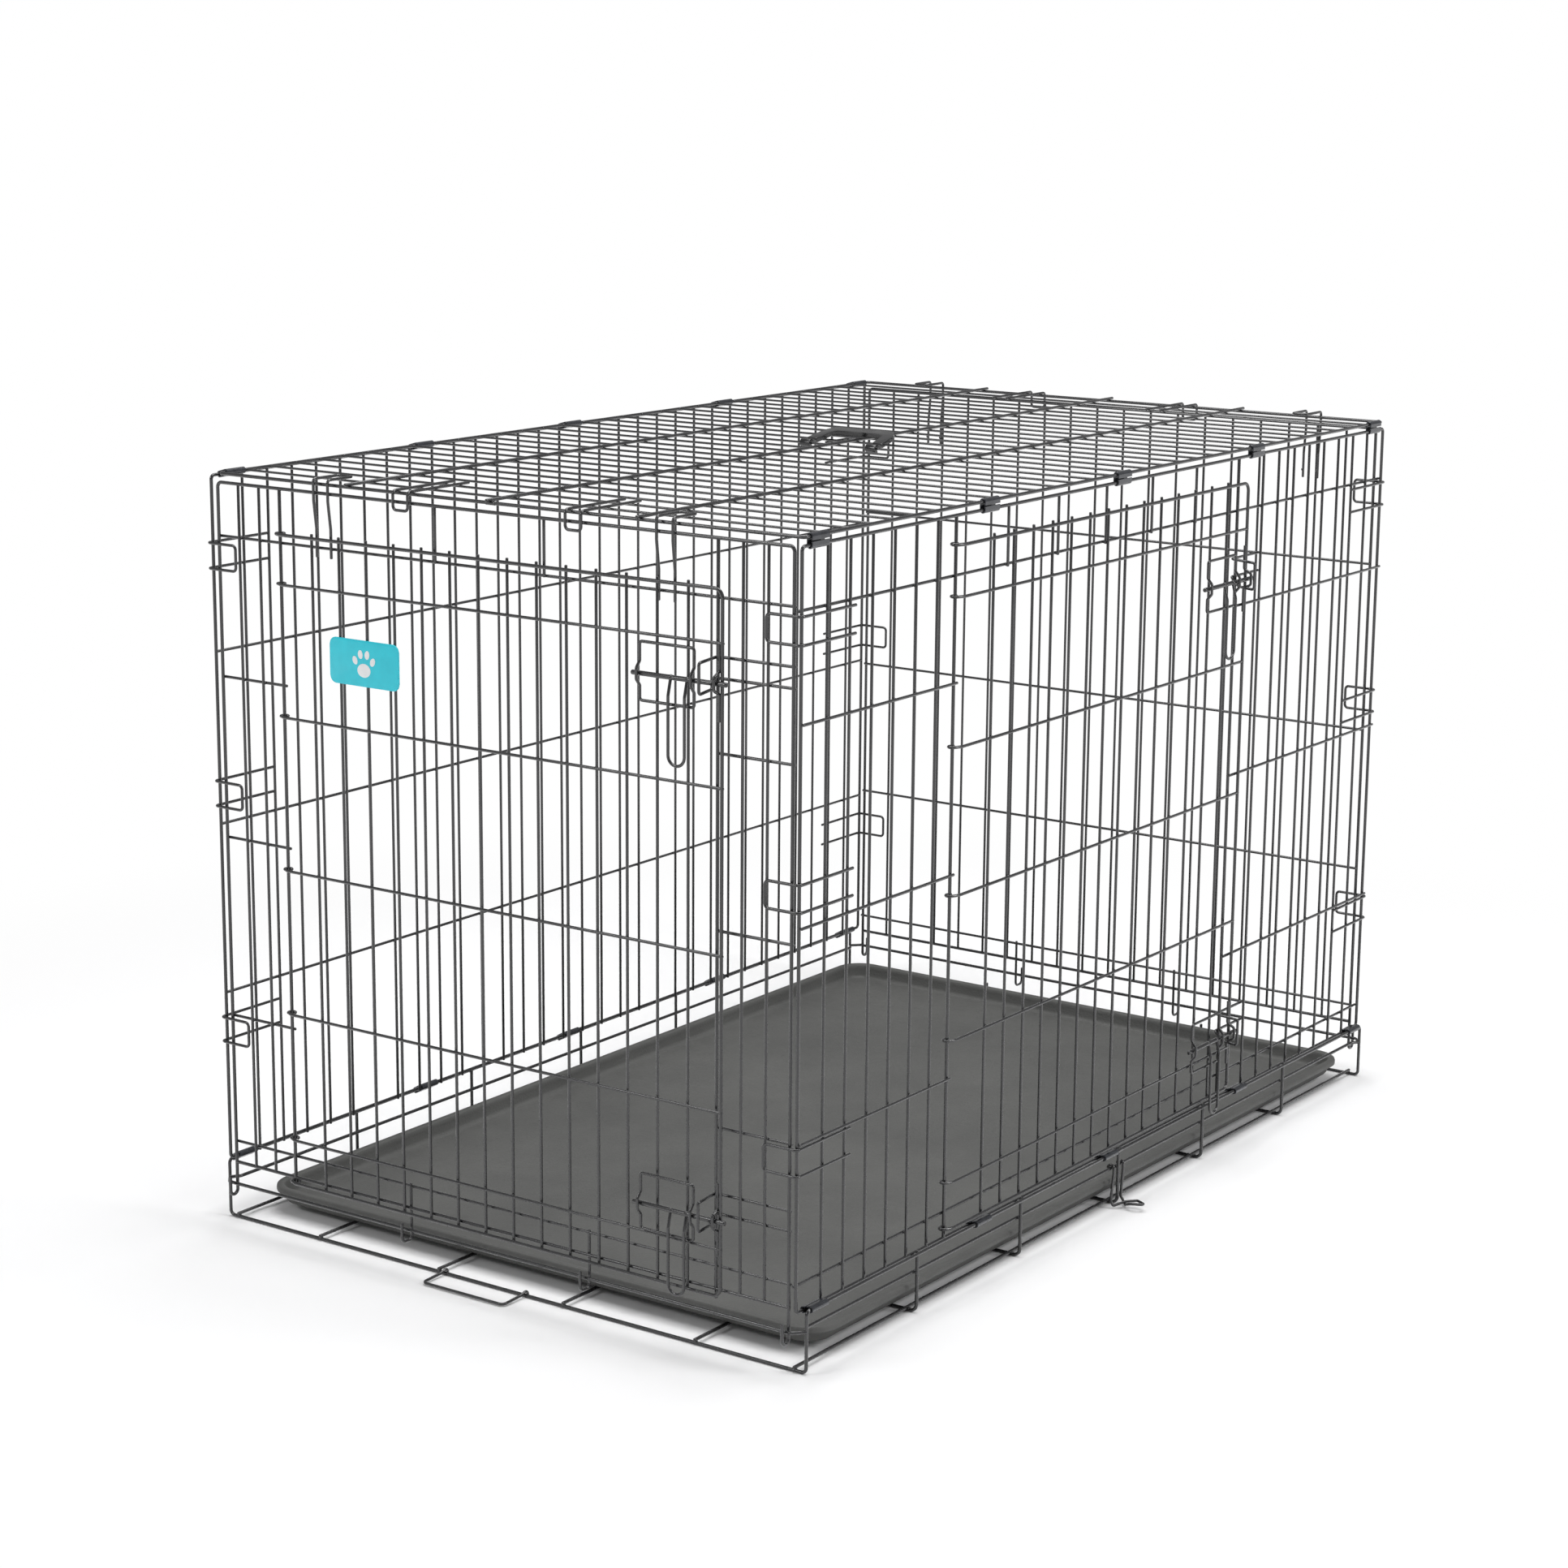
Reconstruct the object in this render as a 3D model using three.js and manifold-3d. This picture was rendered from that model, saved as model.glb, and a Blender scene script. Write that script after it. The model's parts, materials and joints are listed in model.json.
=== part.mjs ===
// Folding wire dog crate: a wire base, two side panels, a top, two end panels that fold inwards,
// a front door, a side door, four slide bolts, a plastic pan and a carrying handle.
// Millimetres, Z up. X is the width, Y the length, and the front door faces -Y.
// The origin is on the ground under the middle of the base.

import * as THREE from 'three';
import { mergeVertices } from 'three/addons/utils/BufferGeometryUtils.js';
import Module from 'manifold-3d';

const wasm = await Module();
wasm.setup();

// ---- Driving dimensions -------------------------------------------------------------------

const BASE_WIDTH = 711; // between the centres of the base's side rails
const BASE_LENGTH = 1115; // between the centres of the base's end wires
const TOP_HEIGHT = 757; // centre of the top panel's frame wire
const BASE_RAIL_HEIGHT = 60.4; // centre of the base's top rails
const MID_RAIL_HEIGHT = 41; // centre of the base's lower rails
const MID_RAIL_FORWARD = 10.5; // how far the end cross rails stand beyond the end wires

const FRAME_WIRE = 3.4; // diameters
const GRID_WIRE = 3;
const FINE_WIRE = 2.4;
const BOLT_ROD = 4.6;

const WELD = 0.15; // how far a grid wire sinks into a frame wire that it crosses
const LAY = 0.05; // grid wires lie this close to each other where they cross
const GAP = 0.4; // between separate pieces
const FLOOR_BEND = 7; // bend radii on the wire's centre line
const TIGHT_BEND = 4;

const SIDE_INSET = 7.8; // side panels stand this far inside the base's side rails
const SIDE_OVERHANG = 6; // and reach this far beyond the base's end wires
const LEFT_FOOT_RISE = 4.6; // the left panel's bottom rail above the base rail
const RIGHT_FOOT_DROP = 1.8; // the right panel's bottom rail below the base rail
const LEFT_TOP_DROP = 2.2; // side panels' top rails below the top panel
const RIGHT_TOP_DROP = 7.6;
const TOP_OVERHANG = 2; // the top panel's end wires beyond the base's
const GRID_PITCH = 35; // spacing wanted for the thin wires of the large panels

const HINGE_SPAN = 8; // between the two wires in a left top clip
const END_INSET = 8; // end panels' frames inside the side panels' planes
const END_PLANE_INSET = 0.5; // end panels' planes behind the side panels' end wires
const END_FOOT_HEIGHT = 62; // end panels' rails, above the ground
const POST_FOOT = 8; // how far the front posts run on below the bottom rail
const END_TOP_DROP = 8; // below the top panel
const LOW_RAIL_HEIGHT = 83; // second lowest rail of the end and right side panels
const HIGH_RAIL_DROP = 60.5; // second highest rail, below the top panel
const SIDE_HIGH_DROP = 3; // the side panel's second highest rail, below the end panels'
const PARTIAL_HEIGHTS = [214.5, 397, TOP_HEIGHT - 199]; // short rails beside the front door
const SIDE_PARTIAL_HEIGHTS = [216.5, 414, TOP_HEIGHT - 162]; // short rails beside the side door
const LEFT_RAIL_BAYS = 4; // bays between the left panel's long rails
const REAR_RAIL_HEIGHTS = [LOW_RAIL_HEIGHT, 245, 407, TOP_HEIGHT - 160];

const DOOR_POST_X = 259; // front door posts, each side of the middle
const STRIP_WIRES = 2; // wires between a front post and the frame
const STUB_X = 64.6; // short wires above the front door
const FRONT_DOOR_LAP = 9.5; // free edge beyond the latch post
const FRONT_DOOR_WIRES = 14;
const FRONT_DOOR_PITCH = 34.2;
const FRONT_DOOR_HEIGHTS = [58, 103, 232, 377, 529, TOP_HEIGHT - 99, TOP_HEIGHT - 51];

const SIDE_HINGE_Y = -319.5; // side door posts
const SIDE_LATCH_Y = 224.5;
const SIDE_STUBS = 5;
const SIDE_DOOR_LAP = 10;
const SIDE_DOOR_WIRES = 14;
const SIDE_DOOR_PITCH = 35;
const SIDE_DOOR_HEIGHTS = [68, 114, 254, 394, 535, TOP_HEIGHT - 82, TOP_HEIGHT - 34];
const DOOR_STANDOFF = 3; // from a curl round the post out to the door's rails

const UPPER_CATCH = [TOP_HEIGHT - 132, TOP_HEIGHT - 113]; // catch wires beside the doors, lower then upper
const LOWER_CATCH = [133, 152];
const CATCH_REACH = 24; // how far a catch loop stands out of its panel
const CATCH_SAG = 11; // how far it hangs below its lower wire

const GUIDE_WIDTH = 60; // bolt guide frames
const GUIDE_HEIGHT = 53;
const GUIDE_SETBACK = 28; // from the door's free edge
const BUMP_HALF = 10; // half height of the bumps that hold the bolt
const BOLT_LENGTH = 104;
const BOLT_PAST_EDGE = 8; // the shut bolt beyond the door's free edge
const BOLT_HANDLE_DROP = 78;
const BOLT_HANDLE_WIDTH = 18;

const PAN_GAP = 12; // from the pan to the base's side rails
const PAN_FRONT_SETBACK = 34; // from the front end wire to the pan
const PAN_REAR_SETBACK = 10;
const PAN_CLEARANCE = 0.55; // between the floor wires and the pan
const PAN_DEPTH = 19;
const PAN_WALL = 2.4;
const PAN_RIM = 9; // width of the rolled rim
const PAN_CORNER = 34;

const CLIP_LENGTH = 26;
const CLIP_SHEET = 1.3;
const CLIP_SPREAD = 8; // bays between a middle clip and the next
const CLIP_CLEARANCE = 0.5;

const HANDLE_WIDTH = 82; // between the middles of its hooks
const HANDLE_REACH = 50; // from the hinge wire to the far edge of the grip
const HANDLE_LEAN = 12; // degrees above the top panel
const HANDLE_STRAP = 12; // width of the grip's arms and bar
const HANDLE_SHEET = 5; // thickness of the grip
const HANDLE_TAPER = 3; // how much the grip draws in on each side towards its bar
const HANDLE_CHAMFER = 8;
const HOOK_EYE = 4.4; // outer radius of the handle's hooks
const HOOK_TONGUE = 9; // from the hinge wire to the end of a hook

const PLATE_SIZE = [86, 44, 1.6];
const PLATE_CORNER = 7;
const PLATE_CENTRE = [-146, TOP_HEIGHT - 163];

const STOP_WIDTH = 100; // pan stop
const STOP_REACH = 33;
const STOP_CENTRE_X = -20;

const LATCH_HOOK_Y = [-3, 16]; // fold latch: its hooks on the base's rail, and its feet
const LATCH_FOOT_Y = [-8, 12.5];
const LATCH_FOOT_Z = 3.2;
const LATCH_LOOP_Z = 8;
const LATCH_REACH = 32; // out of the rail
const LATCH_LOOP_HALF = 6.5;

// ---- Derived places -----------------------------------------------------------------------

const frameR = FRAME_WIRE / 2;
const gridR = GRID_WIRE / 2;
const fineR = FINE_WIRE / 2;
const railX = BASE_WIDTH / 2;
const endY = BASE_LENGTH / 2;
const groundZ = frameR; // centre of a wire that lies on the ground
const overFloorZ = groundZ + 2 * frameR - WELD; // centre of a wire across the floor wires
const panFloorZ = overFloorZ + frameR + PAN_CLEARANCE;
const sideX = railX - SIDE_INSET;
const sideEndY = endY + SIDE_OVERHANG;
const leftFootZ = BASE_RAIL_HEIGHT + LEFT_FOOT_RISE;
const rightFootZ = BASE_RAIL_HEIGHT - RIGHT_FOOT_DROP;
const leftTopZ = TOP_HEIGHT - LEFT_TOP_DROP;
const rightTopZ = TOP_HEIGHT - RIGHT_TOP_DROP;
const topLeftX = -sideX + Math.sqrt(HINGE_SPAN ** 2 - LEFT_TOP_DROP ** 2);
const topRightX = sideX;
const topEndY = endY + TOP_OVERHANG;
const endPanelX = sideX - END_INSET;
const endPanelY = sideEndY - END_PLANE_INSET;
const endTopZ = TOP_HEIGHT - END_TOP_DROP;
const endHighZ = TOP_HEIGHT - HIGH_RAIL_DROP;
const sideHighZ = endHighZ - SIDE_HIGH_DROP;
const pivotY = endY + MID_RAIL_FORWARD;
const crossing = frameR + gridR - WELD; // between the centres of a frame wire and a grid wire on it
const gridCrossing = 2 * gridR + LAY;
const gridBays = baysFor(2 * topEndY, GRID_PITCH);
const gridPlaces = evenly(-topEndY, topEndY, gridBays); // along Y, for the top and both sides

// ---- Materials ----------------------------------------------------------------------------

function coatedWire() {
  return new THREE.MeshStandardMaterial({ color: 0x17181a, roughness: 0.3, metalness: 0.25 });
}

function sheetClip() {
  return new THREE.MeshStandardMaterial({ color: 0x232527, roughness: 0.25, metalness: 0.6 });
}

function panPlastic() {
  return new THREE.MeshStandardMaterial({ color: 0x4b4c4a, roughness: 0.75, metalness: 0 });
}

function gripPlastic() {
  return new THREE.MeshStandardMaterial({ color: 0x101112, roughness: 0.2, metalness: 0 });
}

function platePlastic() {
  return new THREE.MeshStandardMaterial({ color: 0x1ccbdc, roughness: 0.4, metalness: 0 });
}

// ---- Solids -------------------------------------------------------------------------------

function solidOf(geometry) {
  geometry.deleteAttribute('normal');
  geometry.deleteAttribute('uv');
  const merged = mergeVertices(geometry, 1e-4);
  const mesh = new wasm.Mesh({
    numProp: 3,
    vertProperties: new Float32Array(merged.attributes.position.array),
    triVerts: new Uint32Array(merged.index.array),
  });
  return new wasm.Manifold(mesh);
}

function join(solids) {
  let queue = solids;
  while (queue.length > 1) {
    const next = [];
    for (let i = 0; i < queue.length; i += 2) {
      next.push(i + 1 < queue.length ? queue[i].add(queue[i + 1]) : queue[i]);
    }
    queue = next;
  }
  return queue[0];
}

function meshOf(name, solid, material) {
  const data = solid.getMesh();
  const geometry = new THREE.BufferGeometry();
  geometry.setAttribute('position', new THREE.BufferAttribute(data.vertProperties.slice(), 3));
  geometry.setIndex(new THREE.BufferAttribute(data.triVerts.slice(), 1));
  geometry.computeVertexNormals();
  const mesh = new THREE.Mesh(geometry, material);
  mesh.name = name;
  return mesh;
}

function vec(x, y, z) {
  return new THREE.Vector3(x, y, z);
}

// A straight wire. Its ridges face along the two axes across it, so crossing wires meet ridge to ridge.
function rod(start, end, diameter, sides = 4) {
  const along = end.clone().sub(start);
  const geometry = new THREE.ExtrudeGeometry(polygonSection(diameter, sides), {
    depth: along.length(),
    bevelEnabled: false,
  });
  geometry.applyQuaternion(new THREE.Quaternion().setFromUnitVectors(vec(0, 0, 1), along.normalize()));
  geometry.translate(start.x, start.y, start.z);
  return solidOf(geometry);
}

// A route through given points, with a step of the extrusion at each of them.
class WireRoute extends THREE.Curve {
  constructor(points) {
    super();
    this.points = points;
  }

  getPoint(t, target = new THREE.Vector3()) {
    const last = this.points.length - 1;
    const place = Math.min(Math.max(t, 0), 1) * last;
    const from = Math.min(Math.floor(place + 1e-9), last - 1);
    return target.lerpVectors(this.points[from], this.points[from + 1], place - from);
  }

  getPointAt(u, target) {
    return this.getPoint(u, target);
  }

  getTangentAt(u, target = new THREE.Vector3()) {
    const last = this.points.length - 1;
    const at = Math.round(u * last);
    const before = this.points[Math.max(at - 1, 0)];
    const here = this.points[at];
    const after = this.points[Math.min(at + 1, last)];
    target.set(0, 0, 0);
    if (at > 0) target.add(here.clone().sub(before).normalize());
    if (at < last) target.add(after.clone().sub(here).normalize());
    return target.normalize();
  }
}

// Corner points with each inner corner rounded into an arc of the given radius.
function rounded(corners, radius, steps = 3) {
  const points = [corners[0]];
  for (let i = 1; i < corners.length - 1; i += 1) {
    const back = corners[i - 1].clone().sub(corners[i]).normalize();
    const on = corners[i + 1].clone().sub(corners[i]).normalize();
    const half = back.angleTo(on) / 2;
    const reach = radius / Math.tan(half);
    const centre = back.clone().add(on).normalize().multiplyScalar(radius / Math.sin(half)).add(corners[i]);
    const from = back.multiplyScalar(reach).add(corners[i]).sub(centre);
    const to = on.multiplyScalar(reach).add(corners[i]).sub(centre);
    const turn = from.angleTo(to);
    for (let k = 0; k <= steps; k += 1) {
      const share = k / steps;
      const a = Math.sin((1 - share) * turn) / Math.sin(turn);
      const b = Math.sin(share * turn) / Math.sin(turn);
      points.push(from.clone().multiplyScalar(a).addScaledVector(to, b).add(centre));
    }
  }
  points.push(corners[corners.length - 1]);
  return points;
}

function polygonSection(diameter, sides) {
  const shape = new THREE.Shape();
  for (let i = 0; i < sides; i += 1) {
    const angle = (2 * Math.PI * i) / sides;
    const x = (diameter / 2) * Math.cos(angle);
    const y = (diameter / 2) * Math.sin(angle);
    if (i === 0) shape.moveTo(x, y);
    else shape.lineTo(x, y);
  }
  shape.closePath();
  return shape;
}

function wireAlong(points, diameter, sides = 4) {
  const geometry = new THREE.ExtrudeGeometry(polygonSection(diameter, sides), {
    steps: points.length - 1,
    extrudePath: new WireRoute(points),
  });
  return solidOf(geometry);
}

function bentWire(corners, diameter, radius, steps = 2, sides = 4) {
  return wireAlong(rounded(corners, radius, steps), diameter, sides);
}

// A short sleeve of weld over a butt joint.
function bead(place, direction, diameter) {
  const half = direction.clone().normalize().multiplyScalar(3);
  return rod(place.clone().sub(half), place.clone().add(half), diameter + 0.8, 4);
}

// A closed frame of one wire: bent round its corners and butt welded in the middle of its last side.
function closedFrame(corners, diameter, radius) {
  const first = corners[0];
  const last = corners[corners.length - 1];
  const seam = first.clone().add(last).multiplyScalar(0.5);
  const direction = first.clone().sub(last).normalize();
  const start = seam.clone().addScaledVector(direction, 0.3);
  const end = seam.clone().addScaledVector(direction, -0.3);
  return [bentWire([start, ...corners, end], diameter, radius), bead(seam, direction, diameter)];
}

// Points of an arc in the plane of two unit vectors.
function arc(centre, across, up, radius, fromDegrees, toDegrees, steps) {
  const points = [];
  for (let i = 0; i <= steps; i += 1) {
    const angle = THREE.MathUtils.degToRad(fromDegrees + ((toDegrees - fromDegrees) * i) / steps);
    const point = centre.clone();
    point.addScaledVector(across, radius * Math.cos(angle));
    point.addScaledVector(up, radius * Math.sin(angle));
    points.push(point);
  }
  return points;
}

function evenly(from, to, bays) {
  const places = [];
  for (let i = 1; i < bays; i += 1) places.push(from + ((to - from) * i) / bays);
  return places;
}

function baysFor(length, pitch) {
  return Math.max(2, Math.round(length / pitch));
}

// ---- Base ---------------------------------------------------------------------------------

const BASE_BAYS = 6;
const FLOOR_RAIL_X = [-232, -77, 77, 232];
const REAR_STOP_X = [-150, 150];
const REAR_STOP_HEIGHT = 26;
const SEAM_CLEARANCE = 6; // moves the middle floor wire off the weld in the side rails
const LOW_RAIL_INSET = 5; // from the floor wires' bends to the low side rails
const RAIL_STUB = 1; // rails run on past the end wires they are welded to
const MID_JOGGLE = 9; // length over which the lower rails move from the end loops to their own line
const SEAM_GAP = 0.3;

function baseEndLoop(end) {
  const y = end * endY;
  return bentWire(
    [
      vec(-railX, end * SEAM_GAP, BASE_RAIL_HEIGHT),
      vec(-railX, y, BASE_RAIL_HEIGHT),
      vec(-railX, y, groundZ),
      vec(railX, y, groundZ),
      vec(railX, y, BASE_RAIL_HEIGHT),
      vec(railX, end * SEAM_GAP, BASE_RAIL_HEIGHT),
    ],
    FRAME_WIRE,
    TIGHT_BEND,
  );
}

function baseFrame() {
  const solids = [baseEndLoop(-1), baseEndLoop(1)];
  for (const side of [-1, 1]) {
    solids.push(bead(vec(side * railX, 0, BASE_RAIL_HEIGHT), vec(0, 1, 0), FRAME_WIRE));
  }
  const insideX = railX - 2 * frameR + WELD;
  for (const y of evenly(-endY, endY, BASE_BAYS)) {
    const place = Math.abs(y) < 1 ? y + SEAM_CLEARANCE : y;
    solids.push(
      bentWire(
        [
          vec(-insideX, place, BASE_RAIL_HEIGHT + 1),
          vec(-insideX, place, groundZ),
          vec(insideX, place, groundZ),
          vec(insideX, place, BASE_RAIL_HEIGHT + 1),
        ],
        FRAME_WIRE,
        FLOOR_BEND,
      ),
    );
  }
  for (const side of [-1, 1]) {
    const lowRailX = side * (railX - FLOOR_BEND - LOW_RAIL_INSET);
    solids.push(rod(vec(lowRailX, -endY - RAIL_STUB, overFloorZ), vec(lowRailX, endY + RAIL_STUB, overFloorZ), FRAME_WIRE));
    const midRailX = side * (railX - 4 * frameR + 2 * WELD);
    solids.push(
      bentWire(
        [
          vec(side * railX, -endY - 0.5, MID_RAIL_HEIGHT),
          vec(midRailX, -endY + MID_JOGGLE, MID_RAIL_HEIGHT),
          vec(midRailX, endY - MID_JOGGLE, MID_RAIL_HEIGHT),
          vec(side * railX, endY + 0.5, MID_RAIL_HEIGHT),
        ],
        FRAME_WIRE,
        TIGHT_BEND,
        2,
      ),
    );
  }
  for (const x of FLOOR_RAIL_X) {
    solids.push(rod(vec(x, -endY - RAIL_STUB, overFloorZ), vec(x, endY + RAIL_STUB, overFloorZ), FRAME_WIRE));
  }
  for (const end of [-1, 1]) {
    solids.push(
      bentWire(
        [
          vec(-railX, end * (endY + 0.5), MID_RAIL_HEIGHT),
          vec(-railX + MID_JOGGLE + 0.5, end * pivotY, MID_RAIL_HEIGHT),
          vec(railX - MID_JOGGLE - 0.5, end * pivotY, MID_RAIL_HEIGHT),
          vec(railX, end * (endY + 0.5), MID_RAIL_HEIGHT),
        ],
        FRAME_WIRE,
        TIGHT_BEND,
        2,
      ),
    );
  }
  for (const x of REAR_STOP_X) {
    solids.push(rod(vec(x, endY, groundZ), vec(x, endY, REAR_STOP_HEIGHT), FRAME_WIRE));
  }
  return meshOf('base_frame', join(solids), coatedWire());
}

// ---- Pan ----------------------------------------------------------------------------------

const panHalfX = railX - PAN_GAP;
const panFrontY = -endY + PAN_FRONT_SETBACK;
const panRearY = endY - PAN_REAR_SETBACK;

function roundedRectangle(halfX, fromY, toY, radius, Kind = THREE.Shape) {
  const shape = new Kind();
  shape.moveTo(halfX, fromY + radius);
  shape.lineTo(halfX, toY - radius);
  shape.absarc(halfX - radius, toY - radius, radius, 0, Math.PI / 2, false);
  shape.lineTo(-halfX + radius, toY);
  shape.absarc(-halfX + radius, toY - radius, radius, Math.PI / 2, Math.PI, false);
  shape.lineTo(-halfX, fromY + radius);
  shape.absarc(-halfX + radius, fromY + radius, radius, Math.PI, 1.5 * Math.PI, false);
  shape.lineTo(halfX - radius, fromY);
  shape.absarc(halfX - radius, fromY + radius, radius, 1.5 * Math.PI, 2 * Math.PI, false);
  return shape;
}

function panSlab(inset, fromZ, toZ) {
  const shape = roundedRectangle(
    panHalfX - inset,
    panFrontY + inset,
    panRearY - inset,
    PAN_CORNER - Math.min(inset, PAN_CORNER / 2),
  );
  const geometry = new THREE.ExtrudeGeometry(shape, {
    depth: toZ - fromZ,
    bevelEnabled: false,
    curveSegments: 3,
  });
  geometry.translate(0, 0, fromZ);
  return solidOf(geometry);
}

function pan() {
  const rimTop = panFloorZ + PAN_DEPTH;
  const wallInset = PAN_RIM - PAN_WALL;
  const rim = panSlab(0, rimTop - PAN_WALL, rimTop);
  const lip = panSlab(0, rimTop - 7, rimTop - 1).subtract(panSlab(PAN_WALL, rimTop - 8, rimTop));
  const body = panSlab(wallInset, panFloorZ, rimTop - 1);
  const hollow = panSlab(PAN_RIM, panFloorZ + PAN_WALL, rimTop + 1);
  return meshOf('pan', rim.add(lip).add(body).subtract(hollow), panPlastic());
}

// ---- Side panels and top ------------------------------------------------------------------

function sideFrame(x, footZ, topZ) {
  return closedFrame(
    [
      vec(x, -sideEndY, footZ),
      vec(x, -sideEndY, topZ),
      vec(x, sideEndY, topZ),
      vec(x, sideEndY, footZ),
    ],
    FRAME_WIRE,
    TIGHT_BEND,
  );
}

const HOOK_HEIGHTS = [200, 441, TOP_HEIGHT - 80];
const HOOK_HALF = 12.5;
const HOOK_LEG = 78; // along the side panel
const HOOK_REACH = 33; // across the end panel

// A corner hook: two legs on the outside of a side panel, and a loop in front of the end panel.
function cornerHook(side, end, height) {
  const x = side * (sideX + crossing);
  const frontY = end * (endPanelY + frameR + gridR + 1.5);
  const tipX = side * (endPanelX - frameR - 24);
  return bentWire(
    [
      vec(x, end * (sideEndY - HOOK_LEG), height + HOOK_HALF),
      vec(x, frontY, height + HOOK_HALF),
      vec(tipX, frontY, height + HOOK_HALF),
      vec(tipX, frontY, height - HOOK_HALF),
      vec(x, frontY, height - HOOK_HALF),
      vec(x, end * (sideEndY - HOOK_LEG), height - HOOK_HALF),
    ],
    GRID_WIRE,
    TIGHT_BEND,
    2,
  );
}

function cornerHooks(side) {
  const hooks = [];
  for (const end of [-1, 1]) {
    for (const height of HOOK_HEIGHTS) hooks.push(cornerHook(side, end, height));
  }
  return hooks;
}

function leftSidePanel() {
  const solids = sideFrame(-sideX, leftFootZ, leftTopZ);
  const insideX = -sideX + crossing;
  const outsideX = insideX - gridCrossing;
  for (const y of gridPlaces) {
    solids.push(rod(vec(insideX, y, leftFootZ - 1), vec(insideX, y, leftTopZ + 1), GRID_WIRE));
  }
  for (const z of evenly(leftFootZ, leftTopZ, LEFT_RAIL_BAYS)) {
    solids.push(rod(vec(outsideX, -sideEndY, z), vec(outsideX, sideEndY, z), GRID_WIRE));
  }
  solids.push(...cornerHooks(-1));
  return meshOf('left_side_panel', join(solids), coatedWire());
}

// The right panel's uprights stand in the frame's plane. Its long rails pass inside the door's
// opening edges, and its short rails lie on the outside.
function rightSidePanel() {
  const solids = sideFrame(sideX, rightFootZ, rightTopZ);
  const longPlane = sideX - crossing;
  const shortPlane = sideX + crossing;
  const uprights = gridPlaces.filter((y) => y < SIDE_HINGE_Y - 20 || y > SIDE_LATCH_Y + 40);
  for (const y of uprights) solids.push(rod(vec(sideX, y, rightFootZ), vec(sideX, y, rightTopZ), GRID_WIRE));
  for (const y of [SIDE_HINGE_Y, SIDE_LATCH_Y]) {
    solids.push(rod(vec(sideX, y, rightFootZ), vec(sideX, y, rightTopZ), FRAME_WIRE, 6));
  }
  for (const y of evenly(SIDE_HINGE_Y, SIDE_LATCH_Y, SIDE_STUBS + 1)) {
    solids.push(rod(vec(sideX, y, sideHighZ - 1), vec(sideX, y, rightTopZ), GRID_WIRE));
  }
  for (const z of [LOW_RAIL_HEIGHT, sideHighZ]) {
    solids.push(rod(vec(longPlane, -sideEndY, z), vec(longPlane, sideEndY, z), GRID_WIRE));
  }
  for (const z of SIDE_PARTIAL_HEIGHTS) {
    solids.push(rod(vec(shortPlane, -sideEndY, z), vec(shortPlane, SIDE_HINGE_Y + 1, z), GRID_WIRE));
    solids.push(rod(vec(shortPlane, SIDE_LATCH_Y - 1, z), vec(shortPlane, sideEndY, z), GRID_WIRE));
  }
  const nextUpright = uprights.find((y) => y > SIDE_LATCH_Y);
  const sideStrip = nextUpright - SIDE_LATCH_Y;
  for (const pair of [UPPER_CATCH, LOWER_CATCH]) solids.push(catchLoop(SIDE_DOOR, pair, sideStrip));
  solids.push(...cornerHooks(1));
  return meshOf('right_side_panel', join(solids), coatedWire());
}

// One wire: in along the upper catch height, out as a loop beside the latch post, and back along
// the lower. It lies on the inside of the panel's uprights.
function catchLoop(door, pair, length) {
  const [low, high] = pair;
  const post = door.width - door.lap;
  const beside = post - frameR - gridR + WELD;
  return bentWire(
    [
      onDoor(door, post + length, -crossing, high),
      onDoor(door, beside, -crossing, high),
      onDoor(door, beside, CATCH_REACH, high - 2),
      onDoor(door, beside, CATCH_REACH, low - CATCH_SAG),
      onDoor(door, beside, 6, low - CATCH_SAG + 2),
      onDoor(door, beside, -crossing, low),
      onDoor(door, post + length, -crossing, low),
    ],
    GRID_WIRE,
    2.2,
  );
}

const TOP_RAIL_X = [-172, 0, 172];
const DOWN_HOOK_X = [-102, 102];
const DOWN_HOOK_HALF = 9;
const DOWN_HOOK_LEG = 78;
const DOWN_HOOK_DROP = 13;

// Two long legs on the top wires and a loop that hangs in front of an end panel's top rail.
function downHook(x, end) {
  const z = TOP_HEIGHT + crossing;
  const frontY = end * (endPanelY + frameR + gridR + 1.6);
  const loopZ = endTopZ - DOWN_HOOK_DROP + 6;
  return bentWire(
    [
      vec(x - DOWN_HOOK_HALF, end * (topEndY - DOWN_HOOK_LEG), z),
      vec(x - DOWN_HOOK_HALF, frontY, z),
      vec(x - DOWN_HOOK_HALF, frontY, loopZ),
      vec(x + DOWN_HOOK_HALF, frontY, loopZ),
      vec(x + DOWN_HOOK_HALF, frontY, z),
      vec(x + DOWN_HOOK_HALF, end * (topEndY - DOWN_HOOK_LEG), z),
    ],
    GRID_WIRE,
    TIGHT_BEND,
    2,
  );
}

function topPanel() {
  const solids = closedFrame(
    [
      vec(topLeftX, -topEndY, TOP_HEIGHT),
      vec(topLeftX, topEndY, TOP_HEIGHT),
      vec(topRightX, topEndY, TOP_HEIGHT),
      vec(topRightX, -topEndY, TOP_HEIGHT),
    ],
    FRAME_WIRE,
    TIGHT_BEND,
  );
  for (const y of gridPlaces) {
    solids.push(rod(vec(topLeftX - 1, y, TOP_HEIGHT), vec(topRightX + 1, y, TOP_HEIGHT), FINE_WIRE));
  }
  const railZ = TOP_HEIGHT + fineR + frameR + LAY;
  for (const x of TOP_RAIL_X) {
    solids.push(rod(vec(x, -topEndY - 7, railZ), vec(x, topEndY + 7, railZ), FRAME_WIRE));
  }
  for (const end of [-1, 1]) {
    for (const x of DOWN_HOOK_X) solids.push(downHook(x, end));
  }
  return meshOf('top_panel', join(solids), coatedWire());
}

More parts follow.
